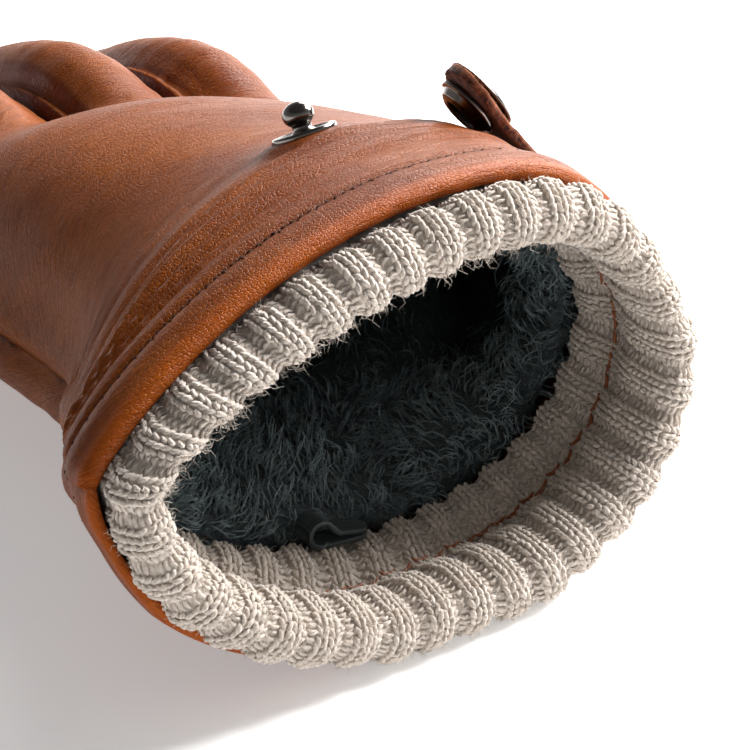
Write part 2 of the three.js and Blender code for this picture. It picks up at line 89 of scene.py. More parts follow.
def node(tree, kind, inputs=None, **settings):
    """Adds one node. inputs gives values or sockets by the input's name or number: a Map Range reads from
    1 to 2 and gives 3 to 4, and a Mix of colours goes from 6 to 7 by the share 0."""
    made = tree.nodes.new(kind)
    for name, value in settings.items():
        setattr(made, name, value)
    for key, value in (inputs or {}).items():
        if isinstance(value, bpy.types.NodeSocket):
            tree.links.new(value, made.inputs[key])
        else:
            made.inputs[key].default_value = value
    return made


def material(name, roughness, colour="#ffffff", **sockets):
    """A new material with its Principled shader, whose plain values sit on the shader's own sockets."""
    made = bpy.data.materials.new(name)
    made.use_nodes = True
    shader = made.node_tree.nodes["Principled BSDF"]
    shader.inputs["Roughness"].default_value = roughness
    shader.inputs["Base Color"].default_value = linear(colour)
    for key, value in sockets.items():
        shader.inputs[key.replace("_", " ")].default_value = value
    return made, made.node_tree, shader


def mesh_object(name, points, faces):
    """A mesh object from points in millimetres and faces of any size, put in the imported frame."""
    mesh = bpy.data.meshes.new(name)
    place = (np.asarray(points, float).reshape(-1, 3) + ORIGIN_IN_FRAME) / 1000
    if isinstance(faces, np.ndarray):
        mesh.vertices.add(len(place))
        mesh.vertices.foreach_set("co", place.ravel())
        mesh.loops.add(faces.size)
        mesh.loops.foreach_set("vertex_index", faces.astype(np.int32).ravel())
        mesh.polygons.add(len(faces))
        mesh.polygons.foreach_set("loop_start", np.arange(0, faces.size, faces.shape[1], dtype=np.int32))
        mesh.polygons.foreach_set("loop_total", np.full(len(faces), faces.shape[1], dtype=np.int32))
        mesh.update(calc_edges=True)
    else:
        mesh.from_pydata(place.tolist(), [], faces)
    mesh.validate()
    mesh.shade_smooth()
    made = bpy.data.objects.new(name, mesh)
    bpy.context.collection.objects.link(made)
    return made


PAPER_HALF = 2500.0
# the paper lies this far below height 0, and skin, yarn and fibres end this far above it
CLEAR_MM = 0.02
paper = mesh_object("paper_sweep", [
    [-PAPER_HALF, -PAPER_HALF, -CLEAR_MM], [PAPER_HALF, -PAPER_HALF, -CLEAR_MM],
    [PAPER_HALF, PAPER_HALF, -CLEAR_MM], [-PAPER_HALF, PAPER_HALF, -CLEAR_MM]], [(0, 1, 2, 3)])
# Uncoated white paper: matt, so it shows no lamp, and it glows weakly with the light from below.
paper_white, _, paper_shader = material("seamless_paper_matt", 0.9, "#fafafa", Emission_Strength=0.34)
paper_shader.inputs["Emission Color"].default_value = linear("#ffffff")
paper.data.materials.append(paper_white)

world = bpy.data.worlds.new("studio")
world.use_nodes = True
room = world.node_tree
room.nodes["Background"].inputs["Color"].default_value = linear("#ffffff")
way = node(room, "ShaderNodeSeparateXYZ", {"Vector": node(room, "ShaderNodeTexCoord").outputs["Generated"]})
overhead = node(room, "ShaderNodeMapRange", {"Value": way.outputs["Z"], 1: 0.15, 2: 0.65, 3: 0.58, 4: 0.13})
sideways = node(room, "ShaderNodeMapRange", {"Value": way.outputs["X"], 1: -1.0, 2: 1.0, 3: 0.6, 4: 1.3})
dimmed = node(room, "ShaderNodeMath", {0: overhead.outputs[0], 1: sideways.outputs[0]}, operation="MULTIPLY")
room.links.new(dimmed.outputs[0], room.nodes["Background"].inputs["Strength"])
bpy.context.scene.world = world
bpy.context.scene.view_settings.view_transform = "Standard"

# azimuth and elevation in degrees seen from the glove, distance and size in metres, power in watts
SOFTBOXES = [
    ("softbox_right", 97, 35, 1.3, 0.7, 60.0),
    ("softbox_back", 136, 24, 1.6, 0.8, 20.0),
]
for name, azimuth, elevation, distance, size, power in SOFTBOXES:
    lamp = bpy.data.lights.new(name, "AREA")
    lamp.shape = "SQUARE"
    lamp.size = size
    lamp.energy = power
    facing(name, lamp, azimuth, elevation, distance)


# Deerskin back and palm. Soft tanned deerskin, cut as a back and a palm that run on into the fingers
# and are sewn along the sides; the wrist edge is turned in and stitched, and the skin gathers at the
# little-finger side, where the cuff flares over the seam.
LEATHER = 1.4
HEM_THICK = 2.4
RIM_Y = 0.8
VOXEL = 1.0
HAND_COLUMNS = ["y", "cx", "half", "bottom", "top", "left", "right", "crown", "keel", "turn", "lean",
                "flat_left", "flat_right"]
HAND = np.array([
    [0.8, 4.6, 53.5, -0.8, 59.5, 36, 30, 12, 6, 14, 0.12, 1.5, 1.7],
    [9.0, 5.8, 52.3, -0.8, 59.3, 35, 30, 11, 6, 14, 0.12, 1.4, 1.8],
    [18.0, 8.3, 49.8, 0.0, 59.2, 32, 30, 10, 5, 13, 0.11, 1.3, 2.0],
    [30.0, 13.5, 45.5, 1.2, 58.2, 27, 29, 7, 3, 8, 0.08, 1.1, 2.1],
    [44.0, 19.5, 43.0, 2.0, 54.7, 23, 28, 3, 1, 3, 0.03, 1.0, 1.9],
    [60.0, 23.6, 43.6, 1.4, 50.2, 21, 28, -1, 0, 0, 0, 1.0, 1.3],
    [75.0, 24.5, 44.5, 0.2, 47.4, 20.5, 27, -4, 0, 0, 0, 1.0, 1.0],
    [90.0, 24.0, 44.0, -0.8, 45.6, 20, 25, -6, 0, 0, 0, 1.0, 1.0],
    [103.0, 23.5, 43.2, -1.0, 43.6, 20, 23, -7, 0, 0, 0, 1.0, 1.0],
    [112.0, 23.3, 42.6, -0.6, 40.8, 20, 21, -6, 0, 0, 0, 1.0, 1.0],
    [121.0, 23.2, 42.2, 2.0, 37.0, 20, 20.5, -4, 0, 0, 0, 1.0, 1.0],
    [130.0, 23.3, 42.0, 6.0, 34.0, 20, 20.5, -2, 0, 0, 0, 1.0, 1.0],
    # along the fingers only the height of the side seams changes
    *[[y, 23.5, 41.6, 9.0, 31.5, seam, seam, 0, 0, 0, 0, 1.0, 1.0] for y, seam in (
        (139.0, 21), (150.0, 23.5), (160.0, 24.2), (170.0, 22.8), (182.0, 19.5), (196.0, 14.5),
        (210.0, 10.4), (225.0, 9.4))],
])
# distance from the hem's edge, and how far the leather stands out there
HEM = np.array([[0.0, 0.45], [1.0, 0.6], [3.2, 1.0], [5.4, 0.7], [6.4, 0.15], [7.0, -0.5], [7.6, 0.0],
                [8.6, 0.4], [11.0, 0.2], [14.0, 0.0], [15.0, 0.0]])
STITCH_LINE = 7.0
# name, x at the root, x at the tip, y of the tip, half width, half height, drop below the side seam
FINGERS = [
    ("index", 54.5, 57.0, 210, 10.6, 12.3, 2.6),
    ("middle", 33.0, 31.0, 219, 10.6, 12.6, 0.0),
    ("ring", 11.8, 7.5, 210, 10.3, 12.2, 0.8),
    ("little", -8.4, -15.5, 192, 9.6, 11.2, 2.6),
]
# where the finger forms start, how much they slim to the tip, and how deep their underside may reach
# below height 0 before it is flattened
FINGER_START, FINGER_SLIMS, FINGER_SINKS = 117.0, 0.14, 1.2
# where the hand's own form ends, over what length its end is rounded and by how much it is drawn in
HAND_END, HAND_ROUND, HAND_DRAWN_IN = 141.0, 9.0, 8.0
# x, y, z and radius along the thumb's middle line
THUMB = np.array([[42, 50, 16.5, 12.0], [53, 63, 15, 13.4], [64, 77, 13.4, 12.8],
                  [72.5, 92, 12, 11.8], [78.5, 114, 10.2, 10.4]])
THUMB_TIP = 10.0


def smooth_table(rows, place):
    """Rows of a table at the given places: a cubic Hermite curve whose slope at a row is the slope
    between its two neighbours. Past the ends the end rows hold."""
    place = np.asarray(place, float)
    key = rows[:, 0]
    at = np.clip(place, key[0], key[-1])
    i = np.clip(np.searchsorted(key, at, side="left"), 1, len(key) - 1)
    before, a, b = np.maximum(i - 2, 0), i - 1, i
    after = np.minimum(i + 1, len(key) - 1)
    span = (key[b] - key[a])[..., None]
    t = ((at - key[a])[..., None]) / span
    slope_a = (rows[b] - rows[before]) / (key[b] - key[before])[..., None] * span
    slope_b = (rows[after] - rows[a]) / (key[after] - key[a])[..., None] * span
    return ((2 * t**3 - 3 * t**2 + 1) * rows[a] + (t**3 - 2 * t**2 + t) * slope_a
            + (3 * t**2 - 2 * t**3) * rows[b] + (t**3 - t**2) * slope_b)


def unit(vectors):
    """The vectors at length 1."""
    return vectors / np.maximum(np.linalg.norm(vectors, axis=-1, keepdims=True), 1e-12)


def section(y):
    """The hand's section values at the places y, by column name."""
    values = smooth_table(HAND, y)
    return {name: values[..., i] for i, name in enumerate(HAND_COLUMNS)}


def hand_point(y, angle, inset):
    """A point of the hand's surface, or inside it by inset. Across is (half - inset) cos(angle) plus
    the crown's shift by sin^2, the height goes from the side seam to the top or the bottom with
    sin(angle)^flat, and the section is turned and leant as a whole."""
    y, angle, inset = np.broadcast_arrays(*np.atleast_1d(y, angle, inset))
    row = section(y)
    c, s = np.cos(angle), np.sin(angle)
    up = s > 0
    side = row["left"] + (row["right"] - row["left"]) * (c + 1) / 2
    end = np.where(up, row["top"] - inset, row["bottom"] + inset)
    shift = np.where(up, row["crown"], row["keel"])
    flat = 1 + (np.where(c < 0, row["flat_left"], row["flat_right"]) - 1) * np.abs(c)
    rise = np.where(up, np.abs(s) ** flat, -s)
    z = np.maximum(side + (end - side) * rise, np.maximum(inset, 0))
    across = row["cx"] + (row["half"] - inset) * c + shift * s * s
    along = row["lean"] * (z - (row["bottom"] + row["top"]) / 2)
    t = np.radians(row["turn"])
    return np.stack([across * np.cos(t) - along * np.sin(t),
                     y + across * np.sin(t) + along * np.cos(t), z], -1)


def section_place(points):
    """The section y and the offset across it of points in space, by stepping y until the point lies
    in its turned and leaning section."""
    x, far, z = points[:, 0], points[:, 1], points[:, 2]
    y = far.copy()
    for _ in range(12):
        row = section(y)
        t = np.radians(row["turn"])
        along = row["lean"] * (z - (row["bottom"] + row["top"]) / 2)
        y = far - (along + x * np.sin(t)) / np.cos(t)
    return y, x * np.cos(t) + (far - y) * np.sin(t) - row["cx"], row


def grid_faces(rows, columns, wrap_rows=False):
    """Quads between neighbouring points of a grid of rows by columns, whose columns close round."""
    i = np.arange(rows if wrap_rows else rows - 1)[:, None]
    j = np.arange(columns)[None, :]
    k, m = (i + 1) % rows, (j + 1) % columns
    return np.stack([i * columns + j, i * columns + m, k * columns + m, k * columns + j], -1).reshape(-1, 4)


def capped_tube(rings):
    """Points and faces of a tube through rings of points, closed by a fan at each end."""
    rows, columns = rings.shape[:2]
    faces = grid_faces(rows, columns).tolist()
    points = np.concatenate([rings.reshape(-1, 3), rings[0].mean(0)[None], rings[-1].mean(0)[None]])
    last = rows * columns
    for j in range(columns):
        k = (j + 1) % columns
        faces.append([last, k, j])
        faces.append([last + 1, last - columns + j, last - columns + k])
    return points, faces


def full_turn(count):
    """Angles evenly round a full turn."""
    return np.linspace(0, 2 * np.pi, count, endpoint=False)


def rounded_run(first, start, long, count):
    """Places from first on, and the share of the full section there: it is whole up to start, and then
    rounded off over the given length as sqrt(1 - t^2)."""
    y = np.concatenate([np.arange(first, start, 1.0),
                        start + long * np.sin(np.radians(np.linspace(0, 88, count)))])
    return y, np.sqrt(np.clip(1 - (np.maximum(0, y - start) / long) ** 2, 0, 1))


def rings_round(centre, a, b, radius, angle):
    """Rings of points round centres: centre + radius (a cos(angle) + b sin(angle))."""
    return centre[..., None, :] + radius[..., None, None] * (
        a[..., None, :] * np.cos(angle)[:, None] + b[..., None, :] * np.sin(angle)[:, None])


def hand_form():
    """The hand as rings: hand_point over y and angle, drawn in to a rounded end like a quarter circle."""
    y = np.concatenate([np.arange(-5, HAND_END - HAND_ROUND, 1.0),
                        HAND_END - HAND_ROUND * np.cos(np.radians(np.arange(4, 90, 8)))])
    past = np.clip((y - (HAND_END - HAND_ROUND)) / HAND_ROUND, 0, 1)
    inset = HAND_DRAWN_IN * (1 - np.sqrt(1 - past**2))
    return capped_tube(hand_point(y[:, None], full_turn(200)[None], inset[:, None]))


def finger_axis(finger, y):
    """Middle x, middle z and slimming of a finger at the places y."""
    _, root_x, tip_x, tip_y, _, height, drop = finger
    t = np.clip((y - FINGER_START) / (tip_y - FINGER_START), 0, 1)
    slim = 1 - FINGER_SLIMS * (y - FINGER_START) / (tip_y - FINGER_START)
    middle = np.maximum(section(y)["left"] - drop, height * slim - FINGER_SINKS)
    return root_x + (tip_x - root_x) * t, middle, slim


def finger_form(finger):
    """A finger as rings: ellipses along its arched middle line, rounded at the tip as a half ellipse,
    and flat where it lies."""
    _, _, _, tip_y, half, height, _ = finger
    y, share = rounded_run(FINGER_START, tip_y - half, half, 18)
    x, middle, slim = finger_axis(finger, y)
    angle = full_turn(72)
    rings = np.stack([
        x[:, None] + (half * slim * share)[:, None] * np.cos(angle),
        np.repeat(y[:, None], 72, 1),
        np.maximum(middle[:, None] + (height * slim * share)[:, None] * np.sin(angle), 0),
    ], -1)
    return capped_tube(rings)


# the web's end and the length of its rounding; its half height at the roots and its fall for a
# millimetre of length; and how much its middle lies above the fingers' and its top below theirs
WEB_END, WEB_ROUND = 186.0, 8.0
WEB_HEIGHT, WEB_FALL = 12.0, 0.05
WEB_LIFT, WEB_BELOW_TOP = 1.0, 2.4


def squared_off(wave, power):
    """A sine or cosine that fills the corners of a round section: its sign times its size^power."""
    return np.sign(wave) * np.abs(wave) ** power


def web_form():
    """The leather that bridges the fingers, as rings: a flat-topped slab from the little finger's middle
    to the index's, a little lower than the fingers, thinning to a rounded end."""
    y, end = rounded_run(FINGER_START, WEB_END - WEB_ROUND, WEB_ROUND, 12)
    angle = full_turn(120)
    left, middle, slim = finger_axis(FINGERS[3], y)
    right = finger_axis(FINGERS[0], y)[0]
    height = (WEB_HEIGHT * slim - WEB_BELOW_TOP - WEB_FALL * (y - FINGER_START)) * end
    share, rise = squared_off(np.cos(angle), 0.4), squared_off(np.sin(angle), 0.4)
    rings = np.stack([
        ((left + right) / 2)[:, None] + ((right - left) / 2 * end)[:, None] * share,
        np.repeat(y[:, None], 120, 1),
        np.maximum((middle + WEB_LIFT)[:, None] + height[:, None] * rise, 0),
    ], -1)
    return capped_tube(rings)


# how far along the hand each slit opens, over what length, and a distance that counts as away from it
SLIT_STARTS, SLIT_OPENS = (139.0, 132.0, 132.0), 7.0
AWAY = 9.0


def slit_place(points):
    """Distance across from the nearest gap between two fingers, and how open the slit is there."""
    y = points[:, 1]
    across, opened = np.full(len(points), AWAY), np.zeros(len(points))
    for first, second, start in zip(FINGERS[:-1], FINGERS[1:], SLIT_STARTS):
        x_first, _, slim_first = finger_axis(first, y)
        x_second, _, slim_second = finger_axis(second, y)
        gap = (x_first - first[4] * slim_first + x_second + second[4] * slim_second) / 2
        off = points[:, 0] - gap
        ramp = np.clip((y - start) / SLIT_OPENS, 0, 1)
        nearer = np.abs(off) < np.abs(across)
        across = np.where(nearer, off, across)
        opened = np.where(nearer, ramp * ramp * (3 - 2 * ramp), opened)
    return across, opened


def curve_through(points, count):
    """A Catmull-Rom curve through points: count places, evenly in the curve's parameter."""
    padded = np.concatenate([2 * points[:1] - points[1:2], points, 2 * points[-1:] - points[-2:-1]])
    t = np.linspace(0, len(points) - 1, count)
    i = np.minimum(t.astype(int), len(points) - 2)
    u = (t - i)[:, None]
    a, b, c, d = padded[i], padded[i + 1], padded[i + 2], padded[i + 3]
    return 0.5 * (2 * b + (c - a) * u + (2 * a - 5 * b + 4 * c - d) * u**2
                  + (3 * b - a - 3 * c + d) * u**3)


def thumb_form():
    """The thumb as rings round its middle line, with a rounded tip, flat where it lies."""
    line = curve_through(THUMB.astype(float), 60)
    centre, radius = line[:, :3], line[:, 3]
    tangent = unit(np.gradient(centre, axis=0))
    turn = np.radians(np.linspace(6, 88, 14))
    centre = np.concatenate([centre, centre[-1] + THUMB_TIP * np.sin(turn)[:, None] * tangent[-1]])
    tangent = np.concatenate([tangent, np.repeat(tangent[-1:], len(turn), 0)])
    radius = np.concatenate([radius, radius[-1] * np.cos(turn)])
    right = unit(np.cross(tangent, [0, 0, 1.0]))
    up = np.cross(right, tangent)
    rings = rings_round(centre, right, up, radius, full_turn(72))
    rings[..., 2] = np.maximum(rings[..., 2], 0)
    return capped_tube(rings)


def read_mesh(mesh):
    """A mesh's points in millimetres in the glove's own frame, and the point of each face corner."""
    place, corner = np.empty(len(mesh.vertices) * 3), np.empty(len(mesh.loops), int)
    mesh.vertices.foreach_get("co", place)
    mesh.loops.foreach_get("vertex_index", corner)
    return place.reshape(-1, 3) * 1000 - ORIGIN_IN_FRAME, corner


def remeshed(points, faces, voxel):
    """Points and quads of the union of closed forms, from a voxel remesh at the given size."""
    rough = mesh_object("rough_form", points, faces)
    change = rough.modifiers.new("voxels", "REMESH")
    change.mode = "VOXEL"
    change.voxel_size = voxel / 1000
    made = bpy.data.meshes.new_from_object(rough.evaluated_get(bpy.context.evaluated_depsgraph_get()))
    place, corner = read_mesh(made)
    bpy.data.objects.remove(rough)
    bpy.data.meshes.remove(made)
    return place, corner.reshape(-1, 4)


def joined(forms):
    """Several forms as one list of points and faces."""
    points, faces, start = [], [], 0
    for form_points, form_faces in forms:
        points.append(form_points)
        faces.extend([[v + start for v in face] for face in form_faces])
        start += len(form_points)
    return np.concatenate(points), faces


def edges_of(quads):
    """Each edge of a mesh of quads or triangles once, as pairs of vertices."""
    pairs = np.concatenate([np.stack([quads[:, k], np.roll(quads, -1, 1)[:, k]], 1)
                            for k in range(quads.shape[1])])
    pairs.sort(axis=1)
    return np.unique(pairs, axis=0)


def relaxed(points, quads, times, weight):
    """Laplacian smoothing: each point moves to the mean of its neighbours by its weight."""
    a, b = edges_of(quads).T
    count = np.bincount(a, minlength=len(points)) + np.bincount(b, minlength=len(points))
    for _ in range(times):
        mean = np.stack([np.bincount(a, points[b, k], len(points)) + np.bincount(b, points[a, k], len(points))
                         for k in range(3)], 1) / np.maximum(count, 1)[:, None]
        points = points + (mean - points) * weight[:, None]
    return points


def normals_of(points, faces):
    """Unit vertex normals: the sum of the crossed diagonals or edges of the faces round each point."""
    corner = points[faces]
    cross = (np.cross(corner[:, 2] - corner[:, 0], corner[:, 3] - corner[:, 1]) if faces.shape[1] == 4
             else np.cross(corner[:, 1] - corner[:, 0], corner[:, 2] - corner[:, 0]))
    return unit(np.stack([np.bincount(faces.ravel(), np.repeat(cross[:, k], faces.shape[1]), len(points))
                          for k in range(3)], 1))


def lattice_noise(points, cell, seed):
    """Smooth noise from -1 to 1: random values on a lattice of the given cell, blended by
    3t^2 - 2t^3 along each axis."""
    q = points / np.asarray(cell, float)
    low = np.floor(q).astype(np.int64)
    t = q - low
    t = t * t * (3 - 2 * t)
    total = 0
    for corner in np.ndindex(2, 2, 2):
        at = low + corner
        h = (at[:, 0] * 73856093) ^ (at[:, 1] * 19349663) ^ (at[:, 2] * 83492791) ^ (seed * 2654435761)
        h = (h ^ (h >> 13)) * 1274126177 & 0xFFFFFFFF
        value = ((h ^ (h >> 16)) & 0xFFFF) / 32767.5 - 1
        total = total + value * np.prod(np.where(corner, t, 1 - t), axis=1)
    return total


def bump(x, centre, width):
    """A smooth hump of height 1: exp(-((x - centre) / width)^2)."""
    return np.exp(-((x - centre) / width) ** 2)


def seam_height(across, row):
    """Height of the side seams' surface: it runs straight from the left seam to the right one."""
    share = np.clip((across + row["half"]) / (2 * row["half"]), 0, 1)
    return row["left"] + (row["right"] - row["left"]) * share


# Millimetres round the hand for a radian. The fan of folds starts behind the hem, reaches so far from
# the little-finger seam, has its focus past it, and fades out along the back.
ROUND_MM = 40.0
FAN_FROM, FAN_REACH, FAN_FOCUS = 12.0, 55.0, 20.0
FAN_FADES, FAN_FADE_LONG = 62.0, 40.0


def fold_place(points):
    """Where a point lies in the run of the folds: mm round the hand, mm across the folds, and its
    section, offset across, section row and height above the side seams. The folds run parallel to the
    hem and draw together towards the little-finger seam like rays of a fan,
    from + (edge - from) * (reach + focus) / (distance from the seam + focus)."""
    y, across, row = section_place(points)
    edge = y - RIM_Y
    above = points[:, 2] - seam_height(across, row)
    angle = np.arctan2(above * 1.5, across)
    from_seam = np.clip((np.pi - np.abs(angle)) * ROUND_MM, 0, FAN_REACH)
    fanned = FAN_FROM + (edge - FAN_FROM) * (FAN_REACH + FAN_FOCUS) / (from_seam + FAN_FOCUS)
    fade = np.clip((y - FAN_FADES) / FAN_FADE_LONG, 0, 1)
    fanned = fanned * (1 - fade) + (FAN_FROM + (edge - FAN_FROM) * 1.15) * fade
    return angle * ROUND_MM, np.where(edge > FAN_FROM, fanned, edge), y, across, row, above


# the slit's groove, its lip, the valley past that and a last rise: place across, height and width
SLIT_FORM = [(0, -3.0, 0.75), (1.5, 0.6, 0.5), (2.9, -0.35, 0.8), (4.4, 0.25, 1.1)]


def slit_relief(points):
    """The finger slits: a deep groove between two fingers with a rolled lip on its thumb side and a soft
    valley past the lip, on the glove's upper side."""
    off, opened = slit_place(points)
    form = sum(height * bump(off, at, width) for at, height, width in SLIT_FORM)
    return opened * (points[:, 2] > 19) * form


# where the stud's flange sits on the back, the way it faces and the radius of skin it draws up
STUD_Y, STUD_ANGLE, STUD_TILT = 41.0, np.radians(101), np.radians(2)
STUD_SEAT = 6.8
round_step = hand_point(STUD_Y, STUD_ANGLE - 0.02, 0)[0] - hand_point(STUD_Y, STUD_ANGLE + 0.02, 0)[0]
along_step = hand_point(STUD_Y + 1, STUD_ANGLE, 0)[0] - hand_point(STUD_Y - 1, STUD_ANGLE, 0)[0]
stud_up = unit(np.cross(round_step, along_step))
stud_at = hand_point(STUD_Y, STUD_ANGLE, -0.3)[0] + 0.5 * stud_up
stud_up = np.array([
    stud_up[0],
    stud_up[1] * np.cos(STUD_TILT) + stud_up[2] * np.sin(STUD_TILT),
    stud_up[2] * np.cos(STUD_TILT) - stud_up[1] * np.sin(STUD_TILT),
])


# long folds: place behind the edge, depth and width
FOLDS = [(11.5, 0.45, 0.8), (16.0, 0.75, 1.1), (21.0, 0.8, 1.3), (27.0, 1.1, 1.9), (35.0, 0.85, 2.5),
         (45.0, 0.7, 3.2), (56.0, 0.5, 3.6)]
HAND_FADES, KNUCKLES_Y, FINGER_BACKS_Y = 128, 118, 158


def leather_relief(points):
    """How far the skin stands out: the turned hem, long folds behind it that draw together towards the
    little-finger seam, gathers beside that seam, the inset side seams, creases at the knuckles and a
    slow unevenness."""
    around, fanned, y, across, row, above = fold_place(points)
    edge = y - RIM_Y
    hand = 1 / (1 + np.exp((y - HAND_FADES) / 3))
    side = across / row["half"]
    top = 1 / (1 + np.exp(-above / 2))
    arc = np.stack([around * 0.2, fanned, points[:, 2] * 0], 1)
    sway = 2.6 * lattice_noise(arc, 9, 3)
    out = smooth_table(HEM, edge)[:, 1] * (edge < HEM[-2, 0])
    for place, depth, width in FOLDS:
        strength = np.clip(0.6 + 0.7 * lattice_noise(points, 28, int(place)), 0, 1.2)
        strength *= np.clip(0.95 - side * 0.5, 0, 1)
        out -= depth * strength * top * (bump(fanned, place + sway, width)
                                         - 0.8 * bump(fanned, place + sway + 2.1 * width, width)) * hand
    # gathers that run down into the little-finger seam
    gather = bump(side, -1.0, 0.34) * bump(edge, 27, 15) * top
    out += 0.22 * gather * np.sin(fanned * 0.75 + 2.0 * lattice_noise(arc, 9, 7))
    # side seams, drawn in between the two panels; deep on the little-finger side behind the cuff
    left = np.clip(-side * 2 - 0.6, 0, 1)
    deep = left * np.clip((edge - 9) / 16, 0, 1) * np.clip((118 - y) / 20, 0, 1)
    on_side = np.clip((np.abs(side) - 0.8) / 0.15, 0, 1) * hand
    out -= (0.5 + 1.2 * deep) * bump(above, 0, 0.9 + 0.9 * deep) * on_side
    out += (0.35 + 1.5 * deep) * bump(above, -4.6, 3.0) * on_side
    out += 1.3 * deep * bump(above, 3.6, 2.6) * on_side
    # palm hem, a little inside the back hem
    out -= 1.3 * np.clip(-above / 0.6, 0, 1) * on_side * np.clip((16 - edge) / 8, 0, 1) * (side < 0)
    # creases over the backs of the fingers and knuckles
    knuckle = bump(y, FINGER_BACKS_Y, 17) * top + 0.5 * bump(y, KNUCKLES_Y, 9) * top
    out += 0.07 * knuckle * np.sin(y * 0.7 + 2.6 * lattice_noise(arc, 8, 11))
    out += slit_relief(points)
    out += 0.35 * lattice_noise(points, 21, 1)
    out += 0.12 * lattice_noise(points, (9, 5, 9), 2) * np.clip(edge / 12, 0, 1)
    # the stud's flange draws the skin flat and up to itself
    from_stud = np.linalg.norm(points - stud_at, axis=1)
    held = 1 / (1 + np.exp(from_stud - STUD_SEAT))
    return out * (1 - held) + (stud_at + 0.3 * stud_up - points) @ stud_up * held


def cut_along(points, faces, values):
    """Cuts a mesh along the surfaces where each column of values is zero. Each cut bisects the mesh
    with that value in place of the height, and the points get their own height back at the end."""
    work = bmesh.new()
    tag = work.verts.layers.float_vector.new("place")
    tags = [work.verts.layers.float.new(f"value_{k}") for k in range(values.shape[1])]
    made = [work.verts.new(p) for p in points.tolist()]
    for v, p, row in zip(made, points.tolist(), values.tolist()):
        v[tag] = p
        for layer, value in zip(tags, row):
            v[layer] = value
    for face in faces:
        work.faces.new([made[k] for k in face])
    for layer in tags:
        for v in work.verts:
            v.co.z = v[layer]
        near = [f for f in work.faces if min(v.co.z for v in f.verts) < 0 < max(v.co.z for v in f.verts)]
        around = list({e for f in near for e in f.edges}) + list({v for f in near for v in f.verts}) + near
        bmesh.ops.bisect_plane(work, geom=around, plane_co=(0, 0, 0), plane_no=(0, 0, 1), dist=1e-3)
    bmesh.ops.triangulate(work, faces=[f for f in work.faces if len(f.verts) > 4])
    work.verts.index_update()
    place = np.array([v[tag] for v in work.verts])
    value = np.array([[v[layer] for layer in tags] for v in work.verts])
    result = [[v.index for v in f.verts] for f in work.faces]
    work.free()
    return place, result, value


def triangles(faces):
    """Faces of three or four corners as an array of triangles."""
    return np.array([t for f in faces for t in ([f[:3]] if len(f) == 3 else [f[:3], [f[0], f[2], f[3]]])])


def walled(points, faces, inner, on_rim, rolled):
    """A closed wall from an outer skin: the same skin turned over at the inner points, joined along
    the open edges, straight at a seam and through the rolled rows at the rim. Also gives each point's
    place in the skin and its row: 0 outer, 1 inner, 2 and up rolled."""
    count = len(points)
    rows = len(rolled)
    every = np.concatenate([points, inner, *rolled])
    result = [list(f) for f in faces] + [[v + count for v in reversed(f)] for f in faces]
    directed = {(f[k], f[(k + 1) % len(f)]) for f in faces for k in range(len(f))}
    level = [0] + [count * (2 + r) for r in range(rows)] + [count]
    starts, ends = set(), set()
    for a, b in directed:
        if (b, a) in directed:
            continue
        if on_rim[a] and on_rim[b]:
            for r in range(rows + 1):
                result.append([b + level[r], a + level[r], a + level[r + 1], b + level[r + 1]])
            starts.add(a)
            ends.add(b)
        else:
            result.append([b, a, a + count, b + count])
    for v in starts - ends:
        result.append([v + k for k in reversed(level)])
    for v in ends - starts:
        result.append([v + k for k in level])
    used = np.unique(np.concatenate([np.array(f) for f in result]))
    place = np.full(len(every), -1)
    place[used] = np.arange(len(used))
    return every[used], [[int(place[v]) for v in f] for f in result], used % count, used // count


finger_forms = [finger_form(finger) for finger in FINGERS]
hand_points, hand_faces = joined([hand_form(), *finger_forms])
hand_tree = BVHTree.FromPolygons(hand_points.tolist(), hand_faces)
thumb_points, thumb_faces = thumb_form()
thumb_tree = BVHTree.FromPolygons(thumb_points.tolist(), thumb_faces)
skin, skin_faces = remeshed(*joined([hand_form(), web_form(), *finger_forms, thumb_form()]), VOXEL)
# the skin is softer between the fingers' roots
at_roots = bump(skin[:, 1], 138, 10) * (skin[:, 1] > 118)
skin = relaxed(skin, skin_faces, 5, np.full(len(skin), 0.5))
skin = relaxed(skin, skin_faces, 24, 0.55 * at_roots)
# Near the hem the voxels' unevenness would show, so the skin goes back to the exact section there,
# fading out over the last 4 of 14 mm.
EXACT_END, EXACT_FADE = 14, 4
hem_angle = full_turn(900)
hem_exact = hand_point(np.arange(-3, 17, 0.5)[:, None], hem_angle[None], 0)
hem_tree = BVHTree.FromPolygons(hem_exact.reshape(-1, 3).tolist(), grid_faces(*hem_exact.shape[:2]).tolist())


def onto_hem(points, normals):
    """Points near the hem moved to the exact section, with its normals."""
    edge = section_place(points)[0] - RIM_Y
    share = np.clip((EXACT_END - edge) / EXACT_FADE, 0, 1) * (edge > -3)
    points, normals = points.copy(), normals.copy()
    for i in np.flatnonzero(share):
        place, normal = hem_tree.find_nearest(points[i].tolist())[:2]
        if normal.dot(Vector(normals[i])) < 0:
            normal = -normal
        points[i] += share[i] * (np.array(place) - points[i])
        normals[i] += share[i] * (np.array(normal) - normals[i])
    return points, unit(normals)


y_at, across_at, row_at = section_place(skin)
slit_off, slit_open = slit_place(skin)
slit_off = np.where((slit_open > 0) & (skin[:, 2] > 20), slit_off, AWAY)
thumb_side = np.array([thumb_tree.find_nearest(p)[3] - hand_tree.find_nearest(p)[3] for p in skin])
# the thumb's seam runs only where the thumb grows out of the hand
thumb_side[(skin[:, 0] < 38) | (skin[:, 1] < 45)] = AWAY
